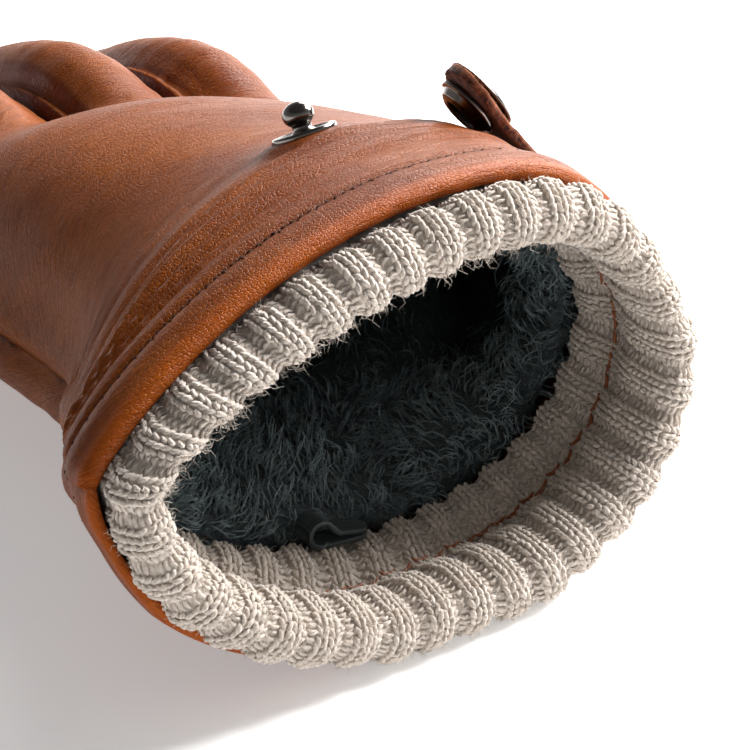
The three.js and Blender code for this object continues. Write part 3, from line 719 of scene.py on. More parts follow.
# The mesh gets edges along the hem's lines, the side seams and the thumb's seam.
HEM_LINES = [0.0, 1.2, 2.2, 3.4, 4.8, 5.8, 6.5, STITCH_LINE, 7.5, 8.2, 9.2]
SLIT_LINES = [-1.1, -0.55, 0.0, 0.55, 1.1, 1.7, 2.3]
skin, skin_faces, at_cut = cut_along(skin, skin_faces, np.stack([
    *[y_at - RIM_Y - line for line in HEM_LINES], *[slit_off - line for line in SLIT_LINES],
    skin[:, 2] - seam_height(across_at, row_at), thumb_side], 1))
kept = [f for f in skin_faces if at_cut[f, 0].mean() > 0]
over_seam, thumb_side = at_cut[:, -2], at_cut[:, -1]
on_thumb = np.clip(-thumb_side / 3, 0, 1)
relief = leather_relief(skin) * (1 - on_thumb) + 0.3 * lattice_noise(skin, 14, 21) * on_thumb
relief -= 0.5 * bump(thumb_side, 0, 1.2)
# The fine grain draws together nearer to the seam than the folds do.
GRAIN_DRAWN, GRAIN_REACH = 1.2, 12.0
grain_round = fold_place(skin)[0]
grain_drawn = 1 + GRAIN_DRAWN * np.exp(-(np.pi * ROUND_MM - np.abs(grain_round)) / GRAIN_REACH)
grain_at = np.stack([grain_round, FAN_FROM + (at_cut[:, 0] - FAN_FROM) * grain_drawn, np.zeros(len(skin))], 1)
skin_tris = triangles(skin_faces)
smooth_skin, smooth_normal = onto_hem(skin, normals_of(skin, skin_tris))
skin = smooth_skin + smooth_normal * relief[:, None]
skin[:, 2] = np.maximum(skin[:, 2], CLEAR_MM)
skin_normal = onto_hem(smooth_skin, normals_of(skin, skin_tris))[1]

# The hem is two layers and its edge a fold, so the wall is thicker there and its nose is round. It is
# turned in by 11 mm.
HEM_WIDE = 11
from_rim = at_cut[:, 0]
turned_in = np.clip((HEM_WIDE - from_rim) / 3, 0, 1)
wall = LEATHER + (HEM_THICK + relief - LEATHER) * turned_in
inner_skin = skin - skin_normal * wall[:, None]
rim_row = section(RIM_Y)
rim_turn = np.radians(rim_row["turn"])
out_of_mouth = unit(np.array([np.sin(rim_turn), -np.cos(rim_turn), rim_row["lean"]]))
nose = unit(out_of_mouth - skin_normal * (skin_normal @ out_of_mouth)[:, None])
ROLL_TURNS = [20, 42, 65, 90, 118, 148]
rolled_rows = [
    skin - skin_normal * (wall * (1 - np.cos(a)) / 2)[:, None] + nose * (wall * 0.6 * np.sin(a))[:, None]
    for a in np.radians(ROLL_TURNS)]
halves = {
    "deerskin_back": [f for f in kept if over_seam[f].mean() > 0 and thumb_side[f].mean() > 0],
    "deerskin_palm": [f for f in kept if over_seam[f].mean() <= 0 and thumb_side[f].mean() > 0],
    "deerskin_thumb": [f for f in kept if thumb_side[f].mean() <= 0],
}

# Aniline-dyed deerskin with a drummed grain: a soft satin skin with short wrinkles across the stretch,
# small flat pebbles between fine creases, and painted shade in the wrinkles' furrows, the creases and
# between the pebbles. The pebbles are drawn at 0.8 by 0.4 mm, long ways round the hand.
deerskin, tree, shader = material("aniline_dyed_deerskin_drummed", 0.5, IOR=1.22, Specular_IOR_Level=0.3)
grain = node(tree, "ShaderNodeAttribute", attribute_name="grain").outputs["Vector"]
place = node(tree, "ShaderNodeTexCoord").outputs["Object"]
along_wrinkles = node(tree, "ShaderNodeMapping", {"Vector": grain, "Scale": (0.2, 1.2, 1.0)})
wrinkles = node(tree, "ShaderNodeTexNoise", {
    "Vector": along_wrinkles.outputs[0], "Scale": 1.0, "Detail": 4.0, "Roughness": 0.6, "Distortion": 0.9})
swaying = node(tree, "ShaderNodeTexNoise", {"Vector": grain, "Scale": 0.5, "Detail": 2.0})
pushed = node(tree, "ShaderNodeVectorMath", {0: swaying.outputs["Color"], 1: grain}, operation="ADD")
along_lines = node(tree, "ShaderNodeMapping", {"Vector": pushed.outputs[0], "Scale": (1.3, 2.8, 1.0)})
cells = node(tree, "ShaderNodeTexVoronoi", {
    "Vector": along_lines.outputs[0], "Scale": 1.0, "Randomness": 0.9},
    feature="DISTANCE_TO_EDGE", voronoi_dimensions="2D")
plateau = node(tree, "ShaderNodeMapRange", {
    "Value": cells.outputs["Distance"], 1: 0.0, 2: 0.22, 3: 0.0, 4: 1.0}, interpolation_type="SMOOTHSTEP")
pebbles = node(tree, "ShaderNodeTexVoronoi", {"Vector": place, "Scale": 1800.0, "Smoothness": 0.7},
               feature="SMOOTH_F1")
clouds = node(tree, "ShaderNodeTexNoise", {"Vector": place, "Scale": 42.0, "Detail": 4.0, "Roughness": 0.6})
dye = node(tree, "ShaderNodeValToRGB", {"Fac": clouds.outputs["Fac"]})
dye.color_ramp.elements[0].position, dye.color_ramp.elements[1].position = 0.3, 0.72
dye.color_ramp.elements[0].color = linear("#6e3004")
dye.color_ramp.elements[1].color = linear("#924b0e")
in_furrow = node(tree, "ShaderNodeMapRange", {
    "Value": wrinkles.outputs["Fac"], 1: 0.3, 2: 0.5, 3: 0.5, 4: 0.0})
between = node(tree, "ShaderNodeMapRange", {
    "Value": pebbles.outputs["Distance"], 1: 0.35, 2: 0.75, 3: 0.0, 4: 0.3})
in_crease = node(tree, "ShaderNodeMapRange", {"Value": plateau.outputs[0], 1: 0.0, 2: 0.7, 3: 0.3, 4: 0.0})
# painted shade in the stitch furrow and the slits, and a painted highlight along the rolled edge
groove_shade = node(tree, "ShaderNodeAttribute", attribute_name="groove_shade").outputs["Fac"]
nose_highlight = node(tree, "ShaderNodeAttribute", attribute_name="nose_highlight").outputs["Fac"]
tone = dye.outputs[0]
# painted shade: the wrinkles' furrows, the gaps between the pebbles and the creases are painted darker
for share, colour in ((in_furrow.outputs[0], "#5a2204"), (between.outputs[0], "#4a1e06"),
                      (in_crease.outputs[0], "#3f1804"), (groove_shade, "#2c1207"), (nose_highlight, "#b4571a")):
    tone = node(tree, "ShaderNodeMix", {0: share, 6: tone, 7: linear(colour)}, data_type="RGBA").outputs[2]
tree.links.new(tone, shader.inputs["Base Color"])
gloss = node(tree, "ShaderNodeMapRange", {"Value": wrinkles.outputs["Fac"], 1: 0.3, 2: 0.7, 3: 0.46, 4: 0.34})
tree.links.new(gloss.outputs[0], shader.inputs["Roughness"])
wrinkle_relief = node(tree, "ShaderNodeBump", {
    "Strength": 0.7, "Distance": 0.0006, "Height": wrinkles.outputs["Fac"]})
line_relief = node(tree, "ShaderNodeBump", {
    "Strength": 0.6, "Distance": 0.0001, "Height": plateau.outputs[0], "Normal": wrinkle_relief.outputs[0]})
pebble_relief = node(tree, "ShaderNodeBump", {
    "Strength": 0.4, "Distance": 0.0001, "Height": pebbles.outputs["Distance"],
    "Normal": line_relief.outputs[0]}, invert=True)
tree.links.new(pebble_relief.outputs[0], shader.inputs["Normal"])
slit_off, slit_open = slit_place(skin)
_, _, _, hem_side, _, hem_above = fold_place(smooth_skin)
# painted shade: a dark line where the back's hem laps over the palm's at the little-finger side
overlap = 0.9 * bump(hem_above, -0.6, 0.5) * (from_rim < HEM_WIDE) * (hem_side < -40)
# painted shade in the slits, the stitch furrow and where the hems overlap
groove_shade_amount = np.clip(1.0 * slit_open * bump(slit_off, 0, 0.9) * (skin[:, 2] > 17)
                + 0.55 * bump(from_rim, STITCH_LINE, 0.6) + overlap, 0, 1)
# a painted highlight along the rolled edge of the hem
nose_highlight_amount = 0.4 * bump(from_rim, -0.4, 1.1)



def dressed(piece, finish, slot, *replaced):
    """Gives a piece its finish and the body it moves with, and what it stands for. Its slot is not used."""
    piece.data.materials.append(finish)
    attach(piece, "root")
    if replaced:
        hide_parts(*replaced)


def painted(piece, name, values):
    """Puts a number or a vector on each point of a piece, under the name its material reads."""
    kind, field = ("FLOAT", "value") if values.ndim == 1 else ("FLOAT_VECTOR", "vector")
    held = piece.data.attributes.new(name, kind, "POINT").data
    held.foreach_set(field, values.astype(np.float32).ravel())


# millimetres of grain that run over the hem's nose
NOSE_MM = 4.2
REPLACED = {"deerskin_back": ["back_panel", "fourchette_index", "fourchette_middle", "fourchette_ring"],
            "deerskin_palm": ["palm_panel"], "deerskin_thumb": ["thumb_panel"]}
for name, faces in halves.items():
    solid, solid_faces, source, row = walled(skin, faces, inner_skin, np.abs(from_rim) < 1e-3, rolled_rows)
    piece = mesh_object(name, solid, solid_faces)
    # the grain runs on round the nose and back along the inner side
    grain_run = grain_at[source]
    grain_run[:, 1] *= np.where(row == 1, -1, 1)
    grain_run[:, 1] -= NOSE_MM * np.array([0, 180, *ROLL_TURNS])[row] / 180
    painted(piece, "grain", grain_run)
    painted(piece, "groove_shade", groove_shade_amount[source])
    painted(piece, "nose_highlight", nose_highlight_amount[source])
    dressed(piece, deerskin, "deerskin", *REPLACED[name])
skin_tree = BVHTree.FromPolygons(skin.tolist(), kept)


def on_skin(points):
    """The nearest places on the finished skin and the normals there."""
    found = [skin_tree.find_nearest(p) for p in points.tolist()]
    return np.array([f[0] for f in found]), np.array([f[1] for f in found])


# Knit cuff. A band of soft cream wool in 2 by 2 rib, folded outwards over the hem and back in, and sewn
# through a finger's width inside the mouth, where the thread pinches the ribs.
RIBS = 34
RIB_MM, COURSE_MM = 7.0, 1.2
# the mouth's mean radius
KNIT_R = 38
# distance from the hem's edge, depth inside the leather, and how far a furrow moves in each
KNIT = np.array([
    [18.0, 2.5, 0, 0], [12.2, 2.5, 0, 0], [8.5, 3.5, 0, 0], [0.8, 3.5, 0.2, 0], [-1.3, 2.1, 0.5, 0],
    [-5.2, 0.3, 0.7, 0.1], [-8.8, 2.0, 0.6, 0.3], [-10, 4.8, 0.1, 0.6], [-8, 7.4, -0.4, 0.4],
    [-1, 8.1, -0.7, 0], [7, 4.8, -0.3, 0], [12, 6.9, -0.6, 0], [17.6, 6.4, -0.4, 0]])


def arc_length(line):
    """The length run at each point of a line, from its start."""
    return np.concatenate([[0], np.cumsum(np.linalg.norm(np.diff(line, axis=0), axis=1))])


def on_line(at, arc, line):
    """Places on a line at the given lengths run."""
    return np.stack([np.interp(at, arc, column) for column in line.T], -1)


rim_angle = np.linspace(0, 2 * np.pi, 1441)
rim_length = arc_length(hand_point(RIM_Y, rim_angle, LEATHER))
knit_line = curve_through(KNIT, 1200)
knit_arc = arc_length(knit_line[:, :2])
# the band's two legs, outside and inside the fold; it shows from just inside the hem's edge
OUTER_LEG, INNER_LEG = slice(0, 500), slice(700, 1100)
KNIT_SHOWS = np.interp(-0.2, -knit_line[OUTER_LEG, 0], knit_arc[OUTER_LEG])
KNIT_LENGTH = knit_arc[-1]


def knit_point(rib, along, lift):
    """A point of the knit: rib counts the ribs round the mouth, along is the length on the band's
    folded profile, lift the height above it. From a crest to a furrow the profile sinks by its furrow
    columns and 0.4 mm more, as (1 - cos) / 2 squared. The fold is tucked in by up to 1.6 mm on the
    little-finger side and bulges by up to 0.6 mm on the thumb side."""
    rib, along, lift = np.broadcast_arrays(rib, along, lift)
    row = on_line(along, knit_arc, knit_line)
    profile = knit_line[:, :2]
    way = unit(on_line(along + 0.2, knit_arc, profile) - on_line(along - 0.2, knit_arc, profile))
    furrow = ((1 - np.cos(2 * np.pi * rib)) / 2) ** 2
    shown = np.clip((along - KNIT_SHOWS) / 3, 0, 1)
    lift = lift - 0.4 * furrow * shown
    angle = np.interp((rib % RIBS) / RIBS * rim_length[-1], rim_length, rim_angle)
    folded = np.clip((1 - row[..., 0]) / 3, 0, 1)
    tucked = folded * (0.5 + 0.5 * np.sin(angle) - 1.1 * np.cos(angle))
    edge = row[..., 0] + furrow * row[..., 3] - way[..., 1] * lift
    inset = row[..., 1] + furrow * row[..., 2] + way[..., 0] * lift + tucked
    return hand_point(RIM_Y + edge, angle, inset)


def slack(rib, along):
    """Slow unevenness of the knit's height, up to 0.3 mm."""
    rib, along = np.broadcast_arrays(rib, along)
    turn = rib / RIBS * 2 * np.pi
    place = np.stack([np.sin(turn) * KNIT_R, np.cos(turn) * KNIT_R, along], -1)
    return 0.3 * lattice_noise(place.reshape(-1, 3), 9, 31).reshape(rib.shape)


# the band is coarse where the leather hides it, and has eight columns to a rib
along = np.concatenate([np.arange(0, KNIT_SHOWS - 0.5, 2.5), np.arange(KNIT_SHOWS, KNIT_LENGTH, 0.9)])
rib_at, along_at = np.meshgrid(np.arange(RIBS * 8) / 8, along)
band = knit_point(rib_at, along_at, slack(rib_at, along_at) - 0.06)

# Wool knit: a soft undyed yarn with a halo of fibres. It gives no gloss, only a pale bloom at a slant,
# and its tone changes slowly along the yarn. The fibres are drawn at 0.4 mm.
wool, tree, shader = material("rib_knit_undyed_wool", 0.95, Sheen_Weight=0.4, Sheen_Roughness=0.5,
                              Specular_IOR_Level=0.1)
place = node(tree, "ShaderNodeTexCoord").outputs["Object"]
heather = node(tree, "ShaderNodeTexNoise", {
    "Vector": place, "Scale": 1100.0, "Detail": 3.0, "Roughness": 0.7, "Distortion": 1.0})
patches = node(tree, "ShaderNodeTexNoise", {"Vector": place, "Scale": 60.0, "Detail": 2.0})
yarn_tone = node(tree, "ShaderNodeValToRGB", {"Fac": heather.outputs["Fac"]})
yarn_tone.color_ramp.elements[0].position, yarn_tone.color_ramp.elements[1].position = 0.3, 0.7
yarn_tone.color_ramp.elements[0].color = linear("#94867a")
yarn_tone.color_ramp.elements[1].color = linear("#e6dbd0")
patched = node(tree, "ShaderNodeMix", {
    0: patches.outputs["Fac"], 6: yarn_tone.outputs[0], 7: linear("#c9bcaf")}, data_type="RGBA")
tree.links.new(patched.outputs[2], shader.inputs["Base Color"])
fibres = node(tree, "ShaderNodeTexNoise", {
    "Vector": place, "Scale": 2400.0, "Detail": 2.0, "Distortion": 1.5})
fibre_relief = node(tree, "ShaderNodeBump", {
    "Strength": 0.6, "Distance": 0.0003, "Height": fibres.outputs["Fac"]})
tree.links.new(fibre_relief.outputs[0], shader.inputs["Normal"])


band_faces = grid_faces(*band.shape[:2], wrap_rows=True)
dressed(mesh_object("knit_band", band, band_faces), wool, "wool_knit", "knit_cuff")


def rods(centre, across_a, across_b, radius, sides):
    """Closed rods along paths: at each of a path's places a ring of sides round centre, in the plane
    of two unit vectors, and a fan over each end. All arrays start with rod, then place. What would
    go below the floor lies on it."""
    count, rings = centre.shape[:2]
    ring = rings_round(centre, across_a, across_b, radius, full_turn(sides))
    points = np.concatenate([ring.reshape(count, -1, 3), centre[:, :1], centre[:, -1:]], 1)
    points[..., 2] = np.maximum(points[..., 2], CLEAR_MM)
    quads = grid_faces(rings, sides)
    tris = np.concatenate([quads[:, [0, 1, 2]], quads[:, [0, 2, 3]]])
    j = np.arange(sides)
    k = (j + 1) % sides
    last = (rings - 1) * sides
    tris = np.concatenate([tris, np.stack([j * 0 + rings * sides, k, j], 1),
                           np.stack([j * 0 + rings * sides + 1, last + j, last + k], 1)])
    faces = tris[None] + (np.arange(count) * points.shape[1])[:, None, None]
    return points.reshape(-1, 3), faces.reshape(-1, 3)


# Offsets of the wales from the middle of a rib, in mm: two knit wales on the rib, two purl ones beside.
KNIT_WALES = [-1.05, 1.05]
PURL_WALES = [-2.85, 2.85]


def yarn(x, y, lift, radius):
    """Rods of yarn on the knit through rows of places, x in mm round the mouth, y in mm along."""
    rib, y = x / RIB_MM, np.minimum(y, KNIT_LENGTH - 0.3)
    above = slack(rib, y)
    centre = knit_point(rib, y, lift + above)
    up = unit(knit_point(rib, y, lift + above + 0.3) - centre)
    across = unit(np.cross(np.gradient(centre, axis=1), up))
    return rods(centre, across, up, radius, 4)


def knit_stitches(first, last):
    """The knit wales from one course to another: each stitch is a V of two legs that start low at the
    wale's middle, swell, lean out and tuck in under the next course."""
    wales = (np.arange(RIBS)[:, None] * RIB_MM + KNIT_WALES).ravel()
    w, c, g = [a.ravel() for a in np.meshgrid(wales, np.arange(first, last), [-1, 1], indexing="ij")]
    rng = np.random.default_rng(5)
    t = np.array([0, 0.35, 0.72, 1.0])
    spread = 0.2 + 0.62 * t**0.8 + rng.normal(0, 0.05, (len(w), 1))
    x = w[:, None] + g[:, None] * spread + rng.normal(0, 0.06, (len(w), 1))
    y = KNIT_SHOWS + (c[:, None] - 0.1 + 1.15 * t + rng.normal(0, 0.08, (len(w), 1))) * COURSE_MM
    lift = np.array([0.0, 0.15, 0.15, -0.02]) + rng.normal(0, 0.05, (len(w), 1))
    return yarn(x, y, lift, np.array([0.26, 0.4, 0.4, 0.26]) * (1 + rng.normal(0, 0.08, (len(w), 1))))


def purl_stitches():
    """The purl wales: each stitch is a short bar over the wale, bowed like a shallow arch."""
    wales = (np.arange(RIBS)[:, None] * RIB_MM + PURL_WALES).ravel()
    w, c = [a.ravel() for a in np.meshgrid(wales, np.arange(COURSES), indexing="ij")]
    rng = np.random.default_rng(6)
    t = np.linspace(-1, 1, 3)
    x = w[:, None] + 0.7 * t + rng.normal(0, 0.1, (len(w), 1))
    y = KNIT_SHOWS + (c[:, None] + 0.3 * t**2 + rng.normal(0, 0.14, (len(w), 1))) * COURSE_MM
    lift = np.array([-0.04, 0.12, -0.04]) + rng.normal(0, 0.06, (len(w), 1))
    return yarn(x, y, lift, np.array([0.24, 0.36, 0.24]) * (1 + rng.normal(0, 0.12, (len(w), 1))))


COURSES = int((KNIT_LENGTH - KNIT_SHOWS) / COURSE_MM)
dressed(mesh_object("knit_stitches_fold", *knit_stitches(0, COURSES // 2)), wool, "wool_knit")
dressed(mesh_object("knit_stitches_inside", *knit_stitches(COURSES // 2, COURSES)), wool, "wool_knit")
dressed(mesh_object("purl_stitches", *purl_stitches()), wool, "wool_knit")


def strands(root, way, length, radius, curl, places, seed):
    """Tapering three-sided fibres: from its root each goes along way for its length, bent by a smooth
    random turn of the given curl, and ends in a point."""
    rng = np.random.default_rng(seed)
    t = np.linspace(0, 1, places)[None, :, None]
    side = unit(np.cross(way, rng.normal(0, 1, way.shape)))
    other = np.cross(way, side)
    phase = rng.uniform(0, 2 * np.pi, len(root))[:, None, None]
    bend = curl * length[:, None, None] * (side[:, None] * (np.cos(phase + 3.5 * t) - np.cos(phase))
                                           + other[:, None] * (np.sin(phase + 3.5 * t) - np.sin(phase)))
    centre = root[:, None] + way[:, None] * length[:, None, None] * t + bend
    run = unit(np.gradient(centre, axis=1))
    a = unit(side[:, None] - run * (run * side[:, None]).sum(-1, keepdims=True))
    thick = radius * (1 - 0.75 * t[..., 0] ** 1.5) * np.ones((len(root), 1))
    return rods(centre, a, np.cross(run, a), thick, 3)


# Loose fibres of the wool: a short fuzz all over the ribs and longer curls on the fold's inner edge.
rng = np.random.default_rng(8)
FUZZ, CURLS = 3500, 1000
rib_root = rng.uniform(0, RIBS, FUZZ + CURLS)
along_root = np.concatenate([rng.uniform(KNIT_SHOWS, KNIT_LENGTH - 1, FUZZ),
                             rng.normal(KNIT_SHOWS + 15.5, 1.6, CURLS)])
root = knit_point(rib_root, along_root, 0.35)
way = knit_point(rib_root, along_root, 1.35) - root
way = unit(way + rng.normal(0, 1.1, way.shape))
length = np.concatenate([rng.uniform(0.5, 1.2, FUZZ), rng.uniform(0.8, 1.9, CURLS)])
fuzz = strands(root, way, length, radius=0.05, curl=0.35, places=3, seed=9)
dressed(mesh_object("knit_loose_fibres", *fuzz), wool, "wool_knit")


# Plush lining. A deep synthetic pile, dark green-black, sewn in behind the knit and running down into
# the thumb. The pile is matted into soft clumps that lean in all directions.
PILE_VOXEL = 1.8
lining_points, corner = read_mesh(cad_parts["plush_lining"].data)
pile_points, first = np.unique(np.round(lining_points, 3), axis=0, return_inverse=True)
pile, pile_faces = remeshed(pile_points, first.ravel()[corner].reshape(-1, 3), PILE_VOXEL)
pile = relaxed(pile, pile_faces, 10, np.full(len(pile), 0.5))
pile_y, pile_across, pile_row = section_place(pile)
pile_normal = normals_of(pile, pile_faces)
t = np.radians(pile_row["turn"])
inward = np.stack([-pile_across * np.cos(t), -pile_across * np.sin(t),
                   (pile_row["bottom"] + pile_row["top"]) / 2 - pile[:, 2]], 1)
# the pile stands on the side that looks into the hand and on the edge that looks out of the mouth
inner_side = ((pile_normal * inward).sum(1) > 0) | ((pile_normal @ out_of_mouth > 0.3) & (pile_y < 30))
clump = 0.9 * lattice_noise(pile, 7, 41) + 0.6 * lattice_noise(pile, 3.2, 42) - 1.5
pile = pile + pile_normal * (clump * inner_side)[:, None]

# Matted acrylic pile: dark, soft and hardly shiny, with tips painted paler as a painted highlight where they
# catch the light. The matting is drawn at 1.1 mm, coarser than the real fibres.
plush, tree, shader = material("matted_acrylic_plush", 0.85, Sheen_Weight=0.25, Sheen_Roughness=0.4,
                               Specular_IOR_Level=0.25)
tip = node(tree, "ShaderNodeAttribute", attribute_name="tip").outputs["Fac"]
place = node(tree, "ShaderNodeTexCoord").outputs["Object"]
tufts = node(tree, "ShaderNodeTexNoise", {"Vector": place, "Scale": 130.0, "Detail": 3.0})
matted = node(tree, "ShaderNodeTexNoise", {
    "Vector": place, "Scale": 900.0, "Detail": 4.0, "Roughness": 0.7, "Distortion": 2.0})
# painted highlight: the strands' tips are paler, more so in some tufts
lit = node(tree, "ShaderNodeMath", {0: tip, 1: tufts.outputs["Fac"]}, operation="MULTIPLY")
felted = node(tree, "ShaderNodeMapRange", {
    "Value": matted.outputs["Fac"], 1: 0.42, 2: 0.7, 3: -0.04, 4: 0.24})
both = node(tree, "ShaderNodeMath", {0: lit.outputs[0], 1: felted.outputs[0]}, operation="ADD")
pile_tone = node(tree, "ShaderNodeValToRGB", {"Fac": both.outputs[0]})
pile_tone.color_ramp.elements[0].color = linear("#3a474a")
pile_tone.color_ramp.elements[1].position = 0.75
pile_tone.color_ramp.elements[1].color = linear("#b6ccd1")
tree.links.new(pile_tone.outputs[0], shader.inputs["Base Color"])
mat_relief = node(tree, "ShaderNodeBump", {
    "Strength": 0.9, "Distance": 0.0006, "Height": matted.outputs["Fac"]})
tree.links.new(mat_relief.outputs[0], shader.inputs["Normal"])
dressed(mesh_object("plush_backing", pile, pile_faces), plush, "plush", "plush_lining")

# The strands grow evenly over the inner side and lean with a slow random flow. Each bends its tip
# towards that of the nearest of some picked strands, which mats them into clumps.
STRANDS_NEAR, STRANDS_DEEP, CLUMPS = 7200, 2200, 1300
# how far in the near and the deep pile reach, and how far over to the thumb
NEAR_TO, DEEP_TO, PILE_TO_X = 58, 108, 64
rng = np.random.default_rng(12)
corner = pile[pile_faces]
area = 0.5 * np.linalg.norm(np.cross(corner[:, 2] - corner[:, 0], corner[:, 3] - corner[:, 1]), axis=1)
face_y = pile_y[pile_faces].mean(1)
inside = inner_side[pile_faces].all(1) & (pile[pile_faces, 0].mean(1) < PILE_TO_X)
roots = []
for count, low, high in ((STRANDS_NEAR, 0, NEAR_TO), (STRANDS_DEEP, NEAR_TO, DEEP_TO)):
    weight = area * inside * (face_y > low) * (face_y <= high)
    picked = rng.choice(len(area), count, p=weight / weight.sum())
    mix = rng.dirichlet([1, 1, 1, 1], count)
    roots.append(((corner[picked] * mix[..., None]).sum(1), pile_normal[pile_faces[picked, 0]]))
root, up = [np.concatenate(part) for part in zip(*roots)]
flow = np.stack([lattice_noise(root, 10, seed) for seed in (51, 52, 53)], 1)
flow += 0.5 * np.stack([lattice_noise(root, 4, seed) for seed in (54, 55, 56)], 1)
flow = unit(flow - up * (flow * up).sum(1)[:, None])
way = 0.6 * up + 0.75 * flow + rng.normal(0, 0.16, up.shape)
tips = root + way * rng.uniform(2.8, 5.0, len(root))[:, None]
centres = rng.choice(len(root), CLUMPS, replace=False)
tree_of_tips = KDTree(len(centres))
for i, p in enumerate(root[centres].tolist()):
    tree_of_tips.insert(p, i)
tree_of_tips.balance()
nearest = centres[[tree_of_tips.find(p)[1] for p in root.tolist()]]
tips += 0.6 * (tips[nearest] - tips)
way, length = unit(tips - root), np.linalg.norm(tips - root, axis=1)
# how near the tip each of a strand's points is: four rings of three, then the two ends
TIP_SHARE = [*np.repeat([0.15, 0.45, 0.75, 1.0], 3), 0.0, 1.0]
for name, part, seed in (("plush_pile_near", slice(0, STRANDS_NEAR), 60),
                         ("plush_pile_deep", slice(STRANDS_NEAR, None), 61)):
    pile_strands = strands(root[part] - 0.4 * up[part], way[part], length[part], radius=0.2, curl=0.2,
                           places=4, seed=seed)
    piece = mesh_object(name, *pile_strands)
    painted(piece, "tip", np.tile(TIP_SHARE, len(root[part])))
    dressed(piece, plush, "plush")


# Topstitching and the thread in the knit. A waxed brown polyester thread holds the turned hem, 16
# stitches to the inch, and a rust-coloured one runs through the knit inside the mouth.
def stitches(places, normals, long, thick, height):
    """One short rod for each stitch, from place to place along a line: it dips into its holes at both
    ends and stands up by height in between, as a half sine."""
    way = unit(np.roll(places, -1, 0) - places)
    t = np.linspace(-0.5, 0.5, 5)[None, :, None]
    rise = height * (np.cos(np.pi * t) - 0.45)
    centre = places[:, None] + way[:, None] * t * long + normals[:, None] * rise
    across = unit(np.cross(way, normals))
    repeat = np.ones((1, 5, 1))
    radius = thick / 2 * np.array([0.55, 0.95, 1, 0.95, 0.55])[None] * np.ones((len(places), 1))
    return rods(centre, across[:, None] * repeat, np.cross(across, way)[:, None] * repeat, radius, 6)


def evenly_along(line, step):
    """Places a step apart along a closed line of points."""
    closed = np.concatenate([line, line[:1]])
    arc = arc_length(closed)
    return on_line(np.arange(0, arc[-1] - step / 2, step), arc, closed)


# Twisted polyester: the waxed brown thread is dull and nearly as dark as its holes, the rust-coloured
# one has a faint shine. The plies show as two tones, drawn at 0.4 mm.
THREADS = {"waxed_polyester_thread": (0.8, 0.1, "#2a1208", "#1f0c05", "#43200f"),
           "rust_polyester_thread": (0.6, 0.5, "#8a4a24", "#6e3517", "#a05a2c")}
spun = []
for name, (roughness, specular, colour, dark, light) in THREADS.items():
    thread, tree, shader = material(name, roughness, colour, Specular_IOR_Level=specular)
    place = node(tree, "ShaderNodeTexCoord").outputs["Object"]
    twist = node(tree, "ShaderNodeTexNoise", {"Vector": place, "Scale": 2500.0, "Detail": 1.0})
    plies = node(tree, "ShaderNodeMix", {
        0: twist.outputs["Fac"], 6: linear(dark), 7: linear(light)}, data_type="RGBA")
    tree.links.new(plies.outputs[2], shader.inputs["Base Color"])
    spun.append(thread)
waxed, rust = spun

# the hem's stitches, and needle marks of an earlier pass, sparse and 1.9 mm nearer the edge
# the needle marks are short dark dashes of the waxed thread, standing for the painted shade in their holes
for name, from_edge, step, sizes in (
        ("hem_topstitch", STITCH_LINE, 1.6, {"long": 1.3, "thick": 0.7, "height": 0.4}),
        ("needle_marks", STITCH_LINE - 1.9, 3.4, {"long": 0.5, "thick": 0.35, "height": 0.08})):
    sewn, sewn_up = on_skin(evenly_along(hand_point(RIM_Y + from_edge, hem_angle, 0), step))
    dressed(mesh_object(name, *stitches(sewn, sewn_up, **sizes)), waxed, "deerskin")

# the knit is sewn where its inner leg is 7 mm inside the hem's edge
pinch = np.interp(7.0, knit_line[INNER_LEG, 0], knit_arc[INNER_LEG])
round_knit = np.linspace(0, RIBS, 2400, endpoint=False)
seam_at = evenly_along(knit_point(round_knit, pinch, slack(round_knit, pinch) + 0.55), 3.2)
seam_up = unit(np.cross(np.roll(seam_at, -1, 0) - seam_at, out_of_mouth))
seam_thread = stitches(seam_at, seam_up, long=2.9, thick=0.6, height=0.5)
dressed(mesh_object("knit_seam_thread", *seam_thread), rust, "wool_knit")


# Snap fastener. Gunmetal-plated brass: a ball stud on a dished flange, riveted through the back, and a
# socket with its cap, riveted through the strap's end.
LATHE_SIDES = 64


def lathe(profile):
    """A turned form round z from rows of radius and height: closed by a fan at both ends where the
    profile starts and ends near the axis, else a ring whose last row meets the first."""
    turn = full_turn(LATHE_SIDES)
    profile = np.asarray(profile, float)
    rings = np.stack([profile[:, :1] * np.cos(turn), profile[:, :1] * np.sin(turn),
                      np.repeat(profile[:, 1:], LATHE_SIDES, 1)], -1)
    if min(profile[0, 0], profile[-1, 0]) < 1:
        return capped_tube(rings)
    return rings.reshape(-1, 3), grid_faces(len(profile), LATHE_SIDES, wrap_rows=True).tolist()


def turned_to(points, axis, origin):
    """Points whose z axis is turned to another axis and whose origin is moved."""
    a = unit(np.cross([0, 1.0, 0], axis))
    return points[:, :1] * a + points[:, 1:2] * np.cross(axis, a) + points[:, 2:] * axis + origin


def rounded(rows, radius=0.12):
    """A profile whose corners are replaced by short arcs of three places."""
    rows = np.asarray(rows, float)
    result = [rows[0]]
    for before, corner, after in zip(rows[:-2], rows[1:-1], rows[2:]):
        back, on = before - corner, after - corner
        cut = min(radius, 0.4 * np.linalg.norm(back), 0.4 * np.linalg.norm(on))
        start = corner + back / np.linalg.norm(back) * cut
        end = corner + on / np.linalg.norm(on) * cut
        result += [start, (start + 2 * corner + end) / 4, end]
    return np.array(result + [rows[-1]])


BALL_R, BALL_MIDDLE, BALL_FLAT = 2.3, 3.1, 0.8
ball = [[BALL_R * np.cos(a), BALL_MIDDLE + BALL_FLAT * BALL_R * np.sin(a)]
        for a in np.radians(np.linspace(-52, 86, 26))]
